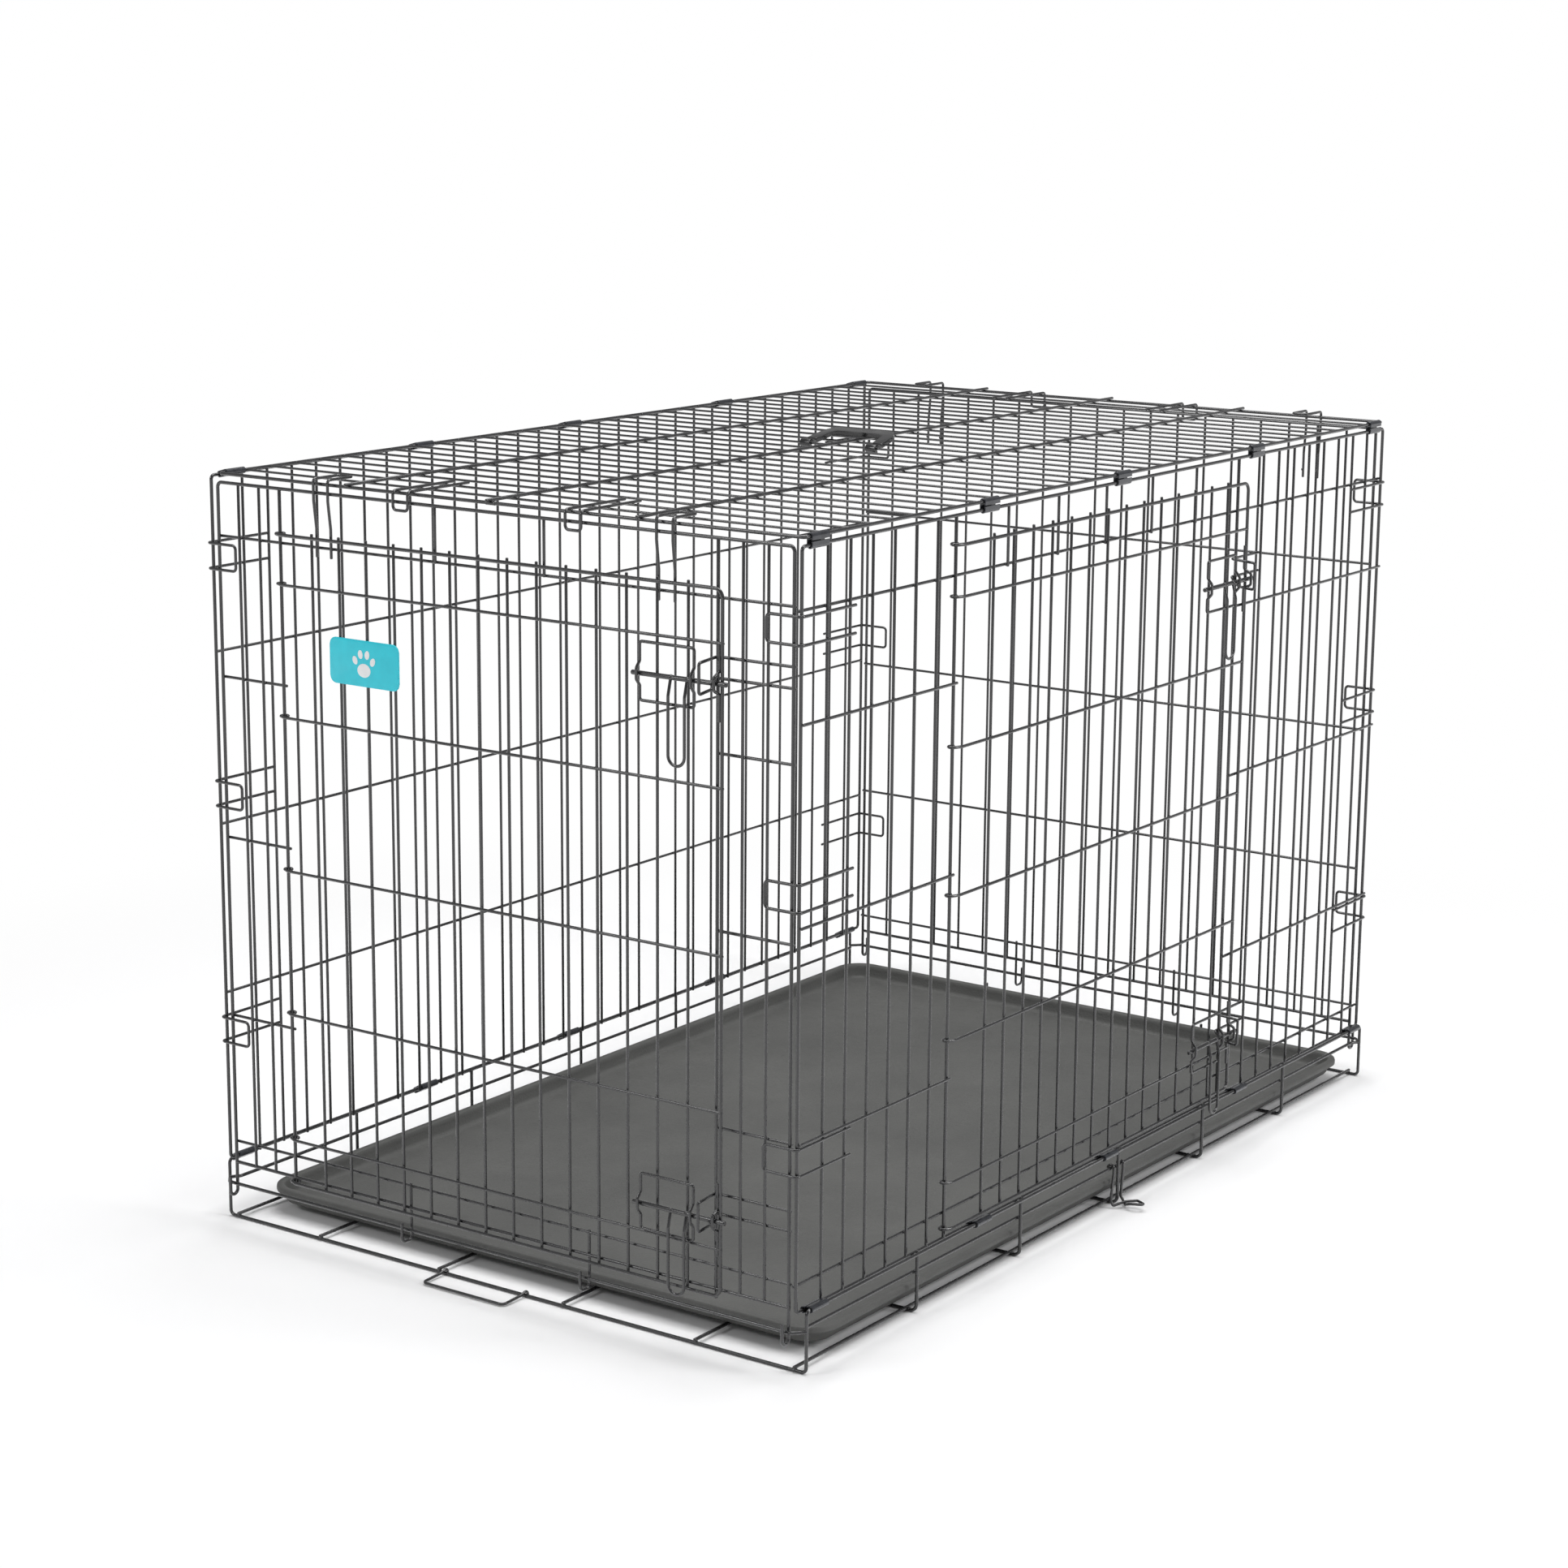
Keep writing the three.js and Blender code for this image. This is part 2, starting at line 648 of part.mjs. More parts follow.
// ---- End panels ---------------------------------------------------------------------------

const FRONT_OVER_HOOK_X = [-203, 203];
const REAR_OVER_HOOK_X = [-244, 261];
const OVER_HOOK_HALF = 9;
const OVER_HOOK_BACK = 32;
const OVER_HOOK_CLEARANCE = 2.4; // above the top panel's end wire
const MID_HOOK_X = [-110, 110];
const FOOT_HOOK_DROP = 12; // how far the foot hooks reach below the cross rail

// A frame whose uprights run on below the bottom rail and turn up in front of the base's cross rail.
function endFrame(end) {
  const y = end * endPanelY;
  const hookY = end * (2 * pivotY - endPanelY);
  const hookZ = MID_RAIL_HEIGHT - FOOT_HOOK_DROP;
  const solids = [
    bentWire(
      [
        vec(-endPanelX, hookY, MID_RAIL_HEIGHT + 8),
        vec(-endPanelX, hookY, hookZ),
        vec(-endPanelX, y, hookZ),
        vec(-endPanelX, y, endTopZ),
        vec(endPanelX, y, endTopZ),
        vec(endPanelX, y, hookZ),
        vec(endPanelX, hookY, hookZ),
        vec(endPanelX, hookY, MID_RAIL_HEIGHT + 8),
      ],
      FRAME_WIRE,
      Math.abs(hookY - y) / 2 - 0.05,
    ),
  ];
  solids.push(rod(vec(-endPanelX, y, END_FOOT_HEIGHT), vec(endPanelX, y, END_FOOT_HEIGHT), FRAME_WIRE));
  return solids;
}

// A closed loop from the low rails of an end panel, under the base's cross rail and back.
function midHook(x, end) {
  const back = end * (endPanelY - crossing);
  const front = end * (2 * pivotY - endPanelY + crossing - 2);
  const low = MID_RAIL_HEIGHT - FOOT_HOOK_DROP;
  return bentWire(
    [
      vec(x, back, LOW_RAIL_HEIGHT + 2),
      vec(x, back, low),
      vec(x, front, low),
      vec(x, front, MID_RAIL_HEIGHT + 7),
    ],
    GRID_WIRE,
    3.5,
    2,
  );
}

// Two legs up the outside of an end panel that bend back over the top panel's end wire.
function overHook(x, end) {
  const outer = end * (endPanelY + crossing);
  const flush = end * (endPanelY - LAY - WELD);
  const inner = end * (endPanelY - OVER_HOOK_BACK);
  const over = TOP_HEIGHT + frameR + gridR + OVER_HOOK_CLEARANCE;
  const left = x - OVER_HOOK_HALF;
  const right = x + OVER_HOOK_HALF;
  return bentWire(
    [
      vec(left, flush, endHighZ - 8),
      vec(left, flush, endHighZ + 19),
      vec(left, outer, endTopZ - 7),
      vec(left, outer, over),
      vec(left, inner, over),
      vec(right, inner, over),
      vec(right, outer, over),
      vec(right, outer, endTopZ - 7),
      vec(right, flush, endHighZ + 19),
      vec(right, flush, endHighZ - 8),
    ],
    GRID_WIRE,
    3.5,
    2,
  );
}

function endHooks(end) {
  const hooks = [];
  const overHooks = end < 0 ? FRONT_OVER_HOOK_X : REAR_OVER_HOOK_X;
  for (const x of overHooks) hooks.push(overHook(x, end));
  for (const x of MID_HOOK_X) hooks.push(midHook(x, end));
  return hooks;
}

function frontPanel() {
  const y = -endPanelY;
  const railPlane = y + crossing;
  const solids = endFrame(-1);
  const stripBays = STRIP_WIRES + 1;
  for (const side of [-1, 1]) {
    const post = side * DOOR_POST_X;
    solids.push(rod(vec(post, y, END_FOOT_HEIGHT - POST_FOOT), vec(post, y, endTopZ), FRAME_WIRE, 6));
    for (const x of evenly(post, side * endPanelX, stripBays)) {
      solids.push(rod(vec(x, y, END_FOOT_HEIGHT), vec(x, y, endTopZ), GRID_WIRE));
    }
    for (const z of PARTIAL_HEIGHTS) {
      const from = side < 0 ? -endPanelX : DOOR_POST_X - 1;
      const to = side < 0 ? -DOOR_POST_X + 1 : endPanelX;
      solids.push(rod(vec(from, railPlane, z), vec(to, railPlane, z), GRID_WIRE));
    }
    solids.push(rod(vec(side * STUB_X, y, endHighZ), vec(side * STUB_X, y, endTopZ), GRID_WIRE));
  }
  for (const z of [LOW_RAIL_HEIGHT, endHighZ]) {
    solids.push(rod(vec(-endPanelX, railPlane, z), vec(endPanelX, railPlane, z), GRID_WIRE));
  }
  const frontStrip = endPanelX - DOOR_POST_X;
  for (const pair of [UPPER_CATCH, LOWER_CATCH]) solids.push(catchLoop(FRONT_DOOR, pair, frontStrip));
  solids.push(...endHooks(-1));
  return meshOf('front_panel', join(solids), coatedWire());
}

function rearPanel() {
  const y = endPanelY;
  const railPlane = y - crossing;
  const solids = endFrame(1);
  for (const x of evenly(-endPanelX, endPanelX, baysFor(2 * endPanelX, GRID_PITCH))) {
    solids.push(rod(vec(x, y, END_FOOT_HEIGHT), vec(x, y, endTopZ), GRID_WIRE));
  }
  for (const z of REAR_RAIL_HEIGHTS) {
    solids.push(rod(vec(-endPanelX, railPlane, z), vec(endPanelX, railPlane, z), GRID_WIRE));
  }
  solids.push(...endHooks(1));
  return meshOf('rear_panel', join(solids), coatedWire());
}

// ---- Doors and their latches --------------------------------------------------------------

// Where a door stands: its hinge post, the way along it, the way out of the crate, and its sizes.
const FRONT_DOOR = {
  post: vec(-DOOR_POST_X, -endPanelY, 0),
  along: vec(1, 0, 0),
  out: vec(0, -1, 0),
  width: 2 * DOOR_POST_X + FRONT_DOOR_LAP,
  lap: FRONT_DOOR_LAP,
  wires: FRONT_DOOR_WIRES,
  pitch: FRONT_DOOR_PITCH,
  heights: FRONT_DOOR_HEIGHTS,
};

const SIDE_DOOR = {
  post: vec(sideX, SIDE_HINGE_Y, 0),
  along: vec(0, 1, 0),
  out: vec(1, 0, 0),
  width: SIDE_LATCH_Y - SIDE_HINGE_Y + SIDE_DOOR_LAP,
  lap: SIDE_DOOR_LAP,
  wires: SIDE_DOOR_WIRES,
  pitch: SIDE_DOOR_PITCH,
  heights: SIDE_DOOR_HEIGHTS,
};

function onDoor(door, along, out, z) {
  return door.post.clone().addScaledVector(door.along, along).addScaledVector(door.out, out).setZ(z);
}

const DOOR_CORNER = 8.5;
const CURL_RUN_OUT = 5.7; // along the rail to where it reaches its own plane
const LAST_UPRIGHT_FROM_GUIDE = 11;

const railOut = frameR + gridR + GAP + DOOR_STANDOFF; // a door's rails, out from its hinge post

// A door rail with its hinge end curled round the post, from the inside round to the outside.
function curledRail(door, z, wire) {
  const centre = onDoor(door, 0, 0, z);
  const curl = arc(centre, door.along, door.out, frameR + wire / 2 + GAP, 350, 115, 5);
  return [...curl, onDoor(door, CURL_RUN_OUT, railOut, z)];
}

function doorMesh(name, door) {
  const solids = [];
  const heights = door.heights;
  const bottom = heights[0];
  const top = heights[heights.length - 1];
  const edge = rounded(
    [
      onDoor(door, door.width - DOOR_CORNER - 1, railOut, top),
      onDoor(door, door.width, railOut, top),
      onDoor(door, door.width, railOut, bottom),
      onDoor(door, door.width - DOOR_CORNER - 1, railOut, bottom),
    ],
    DOOR_CORNER,
  );
  const topRail = curledRail(door, top, FRAME_WIRE);
  const bottomRail = curledRail(door, bottom, FRAME_WIRE).reverse();
  solids.push(wireAlong([...topRail, ...edge, ...bottomRail], FRAME_WIRE));
  for (const z of heights.slice(1, -1)) {
    const rail = [...curledRail(door, z, GRID_WIRE), onDoor(door, door.width + 1, railOut, z)];
    solids.push(wireAlong(rail, GRID_WIRE));
  }
  const uprightOut = railOut - gridCrossing;
  const lastUpright = door.width - GUIDE_SETBACK - LAST_UPRIGHT_FROM_GUIDE;
  for (let i = 0; i < door.wires; i += 1) {
    const along = lastUpright - i * door.pitch;
    const foot = onDoor(door, along, uprightOut, bottom - 2);
    solids.push(rod(foot, onDoor(door, along, uprightOut, top + 3), GRID_WIRE));
  }
  for (const pair of [UPPER_CATCH, LOWER_CATCH]) solids.push(edgeGuide(door, boltHeight(pair)));
  return meshOf(name, join(solids), coatedWire());
}

function boltHeight(pair) {
  return pair[0] - 2;
}

const boltOut = railOut + gridR + GAP + BOLT_ROD / 2;

// A short wire on the door's free edge with a half-round bump for the bolt.
function edgeGuide(door, z) {
  const along = door.width - frameR - gridR + WELD;
  const reach = boltOut + BOLT_ROD / 2 + gridR + GAP;
  return bentWire(
    [
      onDoor(door, along, railOut, z + 34),
      onDoor(door, along, railOut, z + BUMP_HALF),
      onDoor(door, along, reach, z + BUMP_HALF - 4),
      onDoor(door, along, reach, z - BUMP_HALF + 4),
      onDoor(door, along, railOut, z - BUMP_HALF),
      onDoor(door, along, railOut, z - 34),
    ],
    GRID_WIRE,
    2.5,
    2,
  );
}

// A frame of one wire on the door's rails, whose two uprights bulge out round the bolt.
function boltGuide(name, door, pair) {
  const z = boltHeight(pair);
  const plane = railOut + GRID_WIRE + GAP;
  const far = door.width - GUIDE_SETBACK;
  const near = far - GUIDE_WIDTH;
  const high = z + GUIDE_HEIGHT / 2 + 2;
  const low = z - GUIDE_HEIGHT / 2 + 2;
  const reach = boltOut + BOLT_ROD / 2 + gridR + GAP;
  const bulge = (along, up) => [
    onDoor(door, along, plane, z + up * (BUMP_HALF + 1)),
    onDoor(door, along, reach, z + up * (BUMP_HALF - 5)),
    onDoor(door, along, reach, z - up * (BUMP_HALF - 5)),
    onDoor(door, along, plane, z - up * (BUMP_HALF + 1)),
  ];
  const middle = (near + far) / 2;
  const solid = bentWire(
    [
      onDoor(door, middle + 0.3, plane, low),
      onDoor(door, far, plane, low),
      ...bulge(far, -1),
      onDoor(door, far, plane, high),
      onDoor(door, near, plane, high),
      ...bulge(near, 1),
      onDoor(door, near, plane, low),
      onDoor(door, middle - 0.3, plane, low),
    ],
    GRID_WIRE,
    2.5,
    2,
  ).add(bead(onDoor(door, middle, plane, low), door.along, GRID_WIRE));
  return meshOf(name, solid, coatedWire());
}

// A rod with a long loop of wire hanging from it as a finger pull.
function bolt(name, door, pair) {
  const z = boltHeight(pair);
  const tip = door.width + BOLT_PAST_EDGE;
  const rodSolid = rod(
    onDoor(door, tip - BOLT_LENGTH, boltOut, z),
    onDoor(door, tip, boltOut, z),
    BOLT_ROD,
    8,
  );
  const far = door.width - GUIDE_SETBACK - 2 * gridR - 1;
  const near = far - BOLT_HANDLE_WIDTH;
  const clear = boltOut + 4;
  const pull = bentWire(
    [
      onDoor(door, near, boltOut, z),
      onDoor(door, near, clear, z - 16),
      onDoor(door, near, clear, z - BOLT_HANDLE_DROP),
      onDoor(door, far, clear, z - BOLT_HANDLE_DROP),
      onDoor(door, far, clear, z - 16),
      onDoor(door, far, boltOut, z),
    ],
    GRID_WIRE,
    BOLT_HANDLE_WIDTH / 2 - 0.1,
    3,
  );
  return meshOf(name, rodSolid.add(pull), coatedWire());
}

function namePlate() {
  const [width, height, thickness] = PLATE_SIZE;
  const shape = roundedRectangle(width / 2, -height / 2, height / 2, PLATE_CORNER);
  const geometry = new THREE.ExtrudeGeometry(shape, {
    depth: thickness,
    bevelEnabled: false,
    curveSegments: 2,
  });
  geometry.rotateX(Math.PI / 2);
  const face = -endPanelY - railOut - gridR - GAP;
  geometry.translate(PLATE_CENTRE[0], face, PLATE_CENTRE[1]);
  return meshOf('name_plate', solidOf(geometry), platePlastic());
}

// ---- Clips, handle, pan stop and fold latch -----------------------------------------------

// A sheet sleeve round two parallel wires that run along Y.
function clip(name, wireA, wireB, y) {
  const across = new THREE.Vector2(wireB[0] - wireA[0], wireB[1] - wireA[1]);
  const half = across.length() / 2;
  const inner = frameR + GAP;
  const stadium = (radius, Kind) => {
    const shape = new Kind();
    shape.absarc(half, 0, radius, -Math.PI / 2, Math.PI / 2, false);
    shape.absarc(-half, 0, radius, Math.PI / 2, 1.5 * Math.PI, false);
    shape.closePath();
    return shape;
  };
  const outline = stadium(inner + CLIP_SHEET, THREE.Shape);
  outline.holes.push(stadium(inner, THREE.Path));
  const geometry = new THREE.ExtrudeGeometry(outline, {
    depth: CLIP_LENGTH,
    bevelEnabled: false,
    curveSegments: 2,
  });
  geometry.translate(0, 0, -CLIP_LENGTH / 2);
  geometry.rotateZ(across.angle());
  geometry.rotateX(Math.PI / 2);
  const mesh = meshOf(name, solidOf(geometry), sheetClip());
  mesh.position.set((wireA[0] + wireB[0]) / 2, y, (wireA[1] + wireB[1]) / 2);
  return mesh;
}

const HINGE_EDGES = {
  left_top: [[-sideX, leftTopZ], [topLeftX, TOP_HEIGHT]],
  right_top: [[sideX, rightTopZ], [topRightX, TOP_HEIGHT]],
  left_foot: [[-railX, BASE_RAIL_HEIGHT], [-sideX, leftFootZ]],
  right_foot: [[railX, BASE_RAIL_HEIGHT], [sideX, rightFootZ]],
};

// Clips sit in the middle of a bay, clear of the uprights and cross wires of the panels they join,
// and the outermost sit against the last wires.
function clipPlaces() {
  const pitch = (2 * topEndY) / gridBays;
  const last = topEndY - pitch + gridR + CLIP_CLEARANCE + CLIP_LENGTH / 2;
  const firstBay = -topEndY + pitch / 2;
  const middleBay = Math.floor((gridBays - 1) / 2);
  const bays = [middleBay - CLIP_SPREAD + 1, middleBay, middleBay + CLIP_SPREAD];
  return [-last, ...bays.map((bay) => firstBay + bay * pitch), last];
}

// An open eye round the hinge wire with a tongue that reaches into the handle's arm. It is drawn
// in the plane across the hinge wire, with the tongue pointing along the first axis.
function handleHook(name, x) {
  const eye = fineR + GAP;
  const lip = HANDLE_SHEET / 2 - 0.5;
  const shape = new THREE.Shape();
  shape.moveTo(HOOK_TONGUE, lip);
  shape.absarc(0, 0, HOOK_EYE, Math.asin(lip / HOOK_EYE), THREE.MathUtils.degToRad(290), false);
  shape.absarc(0, 0, eye, THREE.MathUtils.degToRad(290), THREE.MathUtils.degToRad(-20), true);
  shape.lineTo(HOOK_EYE / 2, -lip);
  shape.lineTo(HOOK_TONGUE, -lip);
  const geometry = new THREE.ExtrudeGeometry(shape, {
    depth: HANDLE_STRAP,
    bevelEnabled: false,
    curveSegments: 5,
  });
  geometry.translate(0, 0, -HANDLE_STRAP / 2);
  geometry.rotateY(Math.PI / 2);
  geometry.rotateX(Math.PI / 2);
  return placedOnHinge(meshOf(name, solidOf(geometry), gripPlastic()), x);
}

// The handle leans back from the top panel's middle wire, over the middle rail.
function placedOnHinge(mesh, x) {
  mesh.position.set(x, gridPlaces[Math.floor(gridPlaces.length / 2)], TOP_HEIGHT);
  mesh.rotation.x = THREE.MathUtils.degToRad(HANDLE_LEAN);
  return mesh;
}

// Half of the grip's outline, from the arm's outer corner round to the bar.
function gripHalf(side) {
  const outer = HANDLE_WIDTH / 2 + HANDLE_STRAP / 2;
  const inner = outer - HANDLE_STRAP;
  const start = HOOK_TONGUE + GAP;
  const bar = HANDLE_REACH - HANDLE_STRAP;
  const inwards = [
    [inner, start],
    [inner - HANDLE_TAPER, bar - HANDLE_CHAMFER / 2],
    [inner - HANDLE_TAPER - HANDLE_CHAMFER / 2, bar],
  ];
  const outwards = [
    [outer, start],
    [outer - HANDLE_TAPER, HANDLE_REACH - 1.6 * HANDLE_CHAMFER],
    [outer - HANDLE_TAPER - HANDLE_CHAMFER, HANDLE_REACH],
  ];
  return [inwards, outwards].map((points) => points.map(([x, y]) => [side * x, y]));
}

function handleGrip() {
  const [leftInner, leftOuter] = gripHalf(-1);
  const [rightInner, rightOuter] = gripHalf(1);
  const outline = [...rightOuter, ...leftOuter.reverse(), ...leftInner, ...rightInner.reverse()];
  const shape = new THREE.Shape(outline.map(([x, y]) => new THREE.Vector2(x, y)));
  const geometry = new THREE.ExtrudeGeometry(shape, { depth: HANDLE_SHEET, bevelEnabled: false });
  geometry.translate(0, 0, -HANDLE_SHEET / 2);
  return placedOnHinge(meshOf('handle_grip', solidOf(geometry), gripPlastic()), 0);
}

function handleParts() {
  return [
    handleHook('handle_left_hook', -HANDLE_WIDTH / 2),
    handleHook('handle_right_hook', HANDLE_WIDTH / 2),
    handleGrip(),
  ];
}

// A bail whose ends curl round the front floor wire. It is stored lying flat in front of the crate.
function panStop() {
  const half = STOP_WIDTH / 2;
  const turn = frameR + gridR + GAP;
  const curl = (x) => arc(vec(x, -endY, groundZ), vec(0, -1, 0), vec(0, 0, 1), turn, 180, 60, 3);
  const neck = (x) => vec(x, -endY - 7, groundZ + 1.8);
  const tip = (x) => vec(x, -endY - STOP_REACH, groundZ + 0.6);
  const left = STOP_CENTRE_X - half;
  const right = STOP_CENTRE_X + half;
  const points = [
    ...curl(left),
    ...rounded([neck(left), tip(left), tip(right), neck(right)], TIGHT_BEND - 1),
    ...curl(right).reverse(),
  ];
  return meshOf('pan_stop', wireAlong(points, GRID_WIRE), coatedWire());
}

// A wire that hooks over the base's right middle rail, hangs down on both sides of the middle floor
// wire, crosses over itself and ends in a finger loop. It holds the folded crate shut.
function foldLatch() {
  const turn = frameR + gridR + GAP;
  const railMidX = railX - 4 * frameR + 2 * WELD;
  const legX = railMidX + turn;
  const curl = (y) => arc(vec(railMidX, y, MID_RAIL_HEIGHT), vec(1, 0, 0), vec(0, 0, 1), turn, 170, 10, 5);
  const middle = (LATCH_FOOT_Y[0] + LATCH_FOOT_Y[1]) / 2;
  const leg = (side, rise) => {
    const near = LATCH_FOOT_Y[side];
    const over = middle + (side === 0 ? 1 : -1) * LATCH_LOOP_HALF;
    return [
      vec(legX, LATCH_HOOK_Y[side], MID_RAIL_HEIGHT - 4),
      vec(legX, near, LATCH_FOOT_Z + 5),
      vec(legX + 3, near, LATCH_FOOT_Z),
      vec(legX + LATCH_REACH * 0.35, middle, LATCH_LOOP_Z - 3 + rise),
      vec(legX + LATCH_REACH * 0.68, over, LATCH_LOOP_Z),
      vec(legX + LATCH_REACH, middle + (over - middle) / 5, LATCH_LOOP_Z),
    ];
  };
  const route = rounded([...leg(0, gridR + GAP / 2), ...leg(1, -gridR - GAP / 2).reverse()], 1, 1);
  const points = [...curl(LATCH_HOOK_Y[0]), ...route, ...curl(LATCH_HOOK_Y[1]).reverse()];
  return meshOf('fold_latch', wireAlong(points, GRID_WIRE), coatedWire());
}

// ---- Assembly -----------------------------------------------------------------------------

const crate = new THREE.Group();
crate.add(baseFrame(), pan(), leftSidePanel(), rightSidePanel(), topPanel());
crate.add(frontPanel(), rearPanel());
crate.add(doorMesh('front_door', FRONT_DOOR), doorMesh('side_door', SIDE_DOOR));
for (const [name, door] of [['front', FRONT_DOOR], ['side', SIDE_DOOR]]) {
  for (const [level, pair] of [['upper', UPPER_CATCH], ['lower', LOWER_CATCH]]) {
    crate.add(boltGuide(`${name}_${level}_bolt_guide`, door, pair));
    crate.add(bolt(`${name}_${level}_bolt`, door, pair));
  }
}
crate.add(namePlate());
for (const [edge, [wireA, wireB]] of Object.entries(HINGE_EDGES)) {
  clipPlaces().forEach((y, i) => crate.add(clip(`${edge}_clip_${i + 1}`, wireA, wireB, y)));
}
crate.add(...handleParts(), panStop(), foldLatch());

export default crate;
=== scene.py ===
"""The looks of the folding wire dog crate: round coated wires, sheet clips, moulded pan, studio light
and camera.

Each piece stands for one CAD node and is built where the frame's joints and boxes say. Lengths are in
millimetres until a mesh is made, and +X is the crate's right, -Y its front and +Z up.
"""

import json
import math

import bmesh
import bpy
from mathutils import Matrix, Vector


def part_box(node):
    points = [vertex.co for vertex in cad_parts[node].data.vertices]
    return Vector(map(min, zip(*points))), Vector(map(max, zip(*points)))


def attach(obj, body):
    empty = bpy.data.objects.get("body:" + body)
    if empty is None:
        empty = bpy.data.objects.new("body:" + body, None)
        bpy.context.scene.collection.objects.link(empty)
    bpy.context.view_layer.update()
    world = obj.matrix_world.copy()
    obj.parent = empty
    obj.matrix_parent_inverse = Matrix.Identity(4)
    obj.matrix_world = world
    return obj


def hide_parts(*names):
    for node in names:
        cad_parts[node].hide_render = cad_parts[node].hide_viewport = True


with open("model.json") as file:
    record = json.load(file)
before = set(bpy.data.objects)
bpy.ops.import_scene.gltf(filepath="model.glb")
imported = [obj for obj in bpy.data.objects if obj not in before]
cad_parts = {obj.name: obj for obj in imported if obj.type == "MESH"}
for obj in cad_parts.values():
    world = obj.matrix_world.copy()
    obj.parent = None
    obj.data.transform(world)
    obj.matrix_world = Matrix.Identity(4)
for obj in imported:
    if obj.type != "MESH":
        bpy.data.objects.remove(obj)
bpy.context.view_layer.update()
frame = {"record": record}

MM = 0.001

# ---- Sizes ----------------------------------------------------------------------------------

FRAME_R = 1.7  # wire radii
GRID_R = 1.45
FINE_R = 1.2
BOLT_R = 2.3
SEAM_R = FRAME_R + 0.4

FLOOR_BEND = 7
TIGHT_BEND = 4
GRID_PITCH = 35
BASE_BAYS = 6
FLOOR_RAIL_X = (-232, -77, 77, 232)
REAR_STOP_X = (-150, 150)

HOOK_HEIGHTS = (200, 441, 677)
HOOK_HALF = 12.5
HOOK_LEG = 78
TOP_RAIL_X = (-172, 0, 172)
DOWN_HOOK_X = (-102, 102)
DOWN_HOOK_HALF = 9
DOWN_HOOK_LEG = 78
FRONT_OVER_HOOK_X = (-203, 203)
REAR_OVER_HOOK_X = (-244, 261)
OVER_HOOK_HALF = 9
OVER_HOOK_BACK = 32
MID_HOOK_X = (-110, 110)
FOOT_HOOK_DROP = 12

LOW_RAIL_Z = 83
HIGH_RAIL_DROP = 60.5
END_FOOT_Z = 62
POST_FOOT = 8
FRONT_PARTIAL_Z = (214.5, 397, 558)
SIDE_PARTIAL_Z = (216.5, 414, 595)
REAR_RAIL_Z = (LOW_RAIL_Z, 245, 407, 597)
STUB_X = 64.6

UPPER_CATCH = (625, 644)
LOWER_CATCH = (133, 152)
CATCH_REACH = 24
CATCH_SAG = 11
GUIDE_WIDTH = 60
GUIDE_HEIGHT = 53
GUIDE_SETBACK = 28
BUMP_HALF = 10
DOOR_CORNER = 8.5
DOOR_GAP = 0.4

CLIP_LENGTH = 26
CLIP_SHEET = 1.2
CLIPS_PER_EDGE = 5

HANDLE_WIDTH = 82
HANDLE_REACH = 50
HANDLE_STRAP = 12
HANDLE_LEAN = 12
HOOK_TONGUE = 9

LATCH_HOOK_Y = (-3, 16)
LATCH_FOOT_Y = (-8, 12.5)
LATCH_FOOT_Z = 3.2
LATCH_LOOP_Z = 8
LATCH_REACH = 32
LATCH_LOOP_HALF = 6.5

# ---- Places from the frame --------------------------------------------------------------------


def joint_place(name):
    for joint in frame["record"]["behaviour"]["joints"]:
        if joint["name"] == name:
            return Vector(joint["pos_m"]) / MM
    raise KeyError(name)


def box_mm(node):
    low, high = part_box(node)
    return low / MM, high / MM


panel_pivot = joint_place("rear_panel_fold")
base_high = box_mm("base_frame")[1]
floor_wire = joint_place("pan_stop_turn")
side_hinge = joint_place("side_door_hinge")
front_hinge = joint_place("front_door_hinge")
handle_hinge = joint_place("handle_turn")

RAIL_X, RAIL_Z = base_high.x - SEAM_R, base_high.z - SEAM_R
END_Y, GROUND_Z = -floor_wire.y, floor_wire.z
PIVOT_Y, MID_Z = panel_pivot.y, panel_pivot.z
SIDE_X = side_hinge.x
PANEL_Y = -front_hinge.y
SIDE_END_Y = PANEL_Y + 0.5
TOP_Z = handle_hinge.z
TOP_END_Y = END_Y + 2
PANEL_X = SIDE_X - 8
TOP_LEFT_X = box_mm("top_panel")[0].x + FRAME_R
TOP_RIGHT_X = SIDE_X
LEFT_FOOT_Z = box_mm("left_side_panel")[0].z + SEAM_R
LEFT_TOP_Z = box_mm("left_side_panel")[1].z - FRAME_R
RIGHT_FOOT_Z = box_mm("right_side_panel")[0].z + SEAM_R
RIGHT_TOP_Z = box_mm("right_side_panel")[1].z - FRAME_R
END_TOP_Z = TOP_Z - 8
END_HIGH_Z = TOP_Z - HIGH_RAIL_DROP
SIDE_HIGH_Z = END_HIGH_Z - 3
FRONT_POST_X = -front_hinge.x
SIDE_HINGE_Y = side_hinge.y
SIDE_LATCH_Y = 224.5
CROSS = FRAME_R + GRID_R - 0.15  # between a frame wire's centre and a grid wire's across it
GRID_CROSS = 2 * GRID_R

# ---- Mesh building ----------------------------------------------------------------------------


def vec(x, y, z):
    return Vector((x, y, z))


def evenly(start, stop, bays):
    return [start + (stop - start) * i / bays for i in range(1, bays)]


def bays_for(length, pitch):
    return max(2, round(length / pitch))


GRID_Y = evenly(-TOP_END_Y, TOP_END_Y, bays_for(2 * TOP_END_Y, GRID_PITCH))


def arc(centre, across, up, radius, start, stop, steps):
    """Points of an arc in the plane of two unit vectors, from one angle to another in degrees."""
    points = []
    for i in range(steps + 1):
        angle = math.radians(start + (stop - start) * i / steps)
        points.append(centre + across * (radius * math.cos(angle)) + up * (radius * math.sin(angle)))
    return points


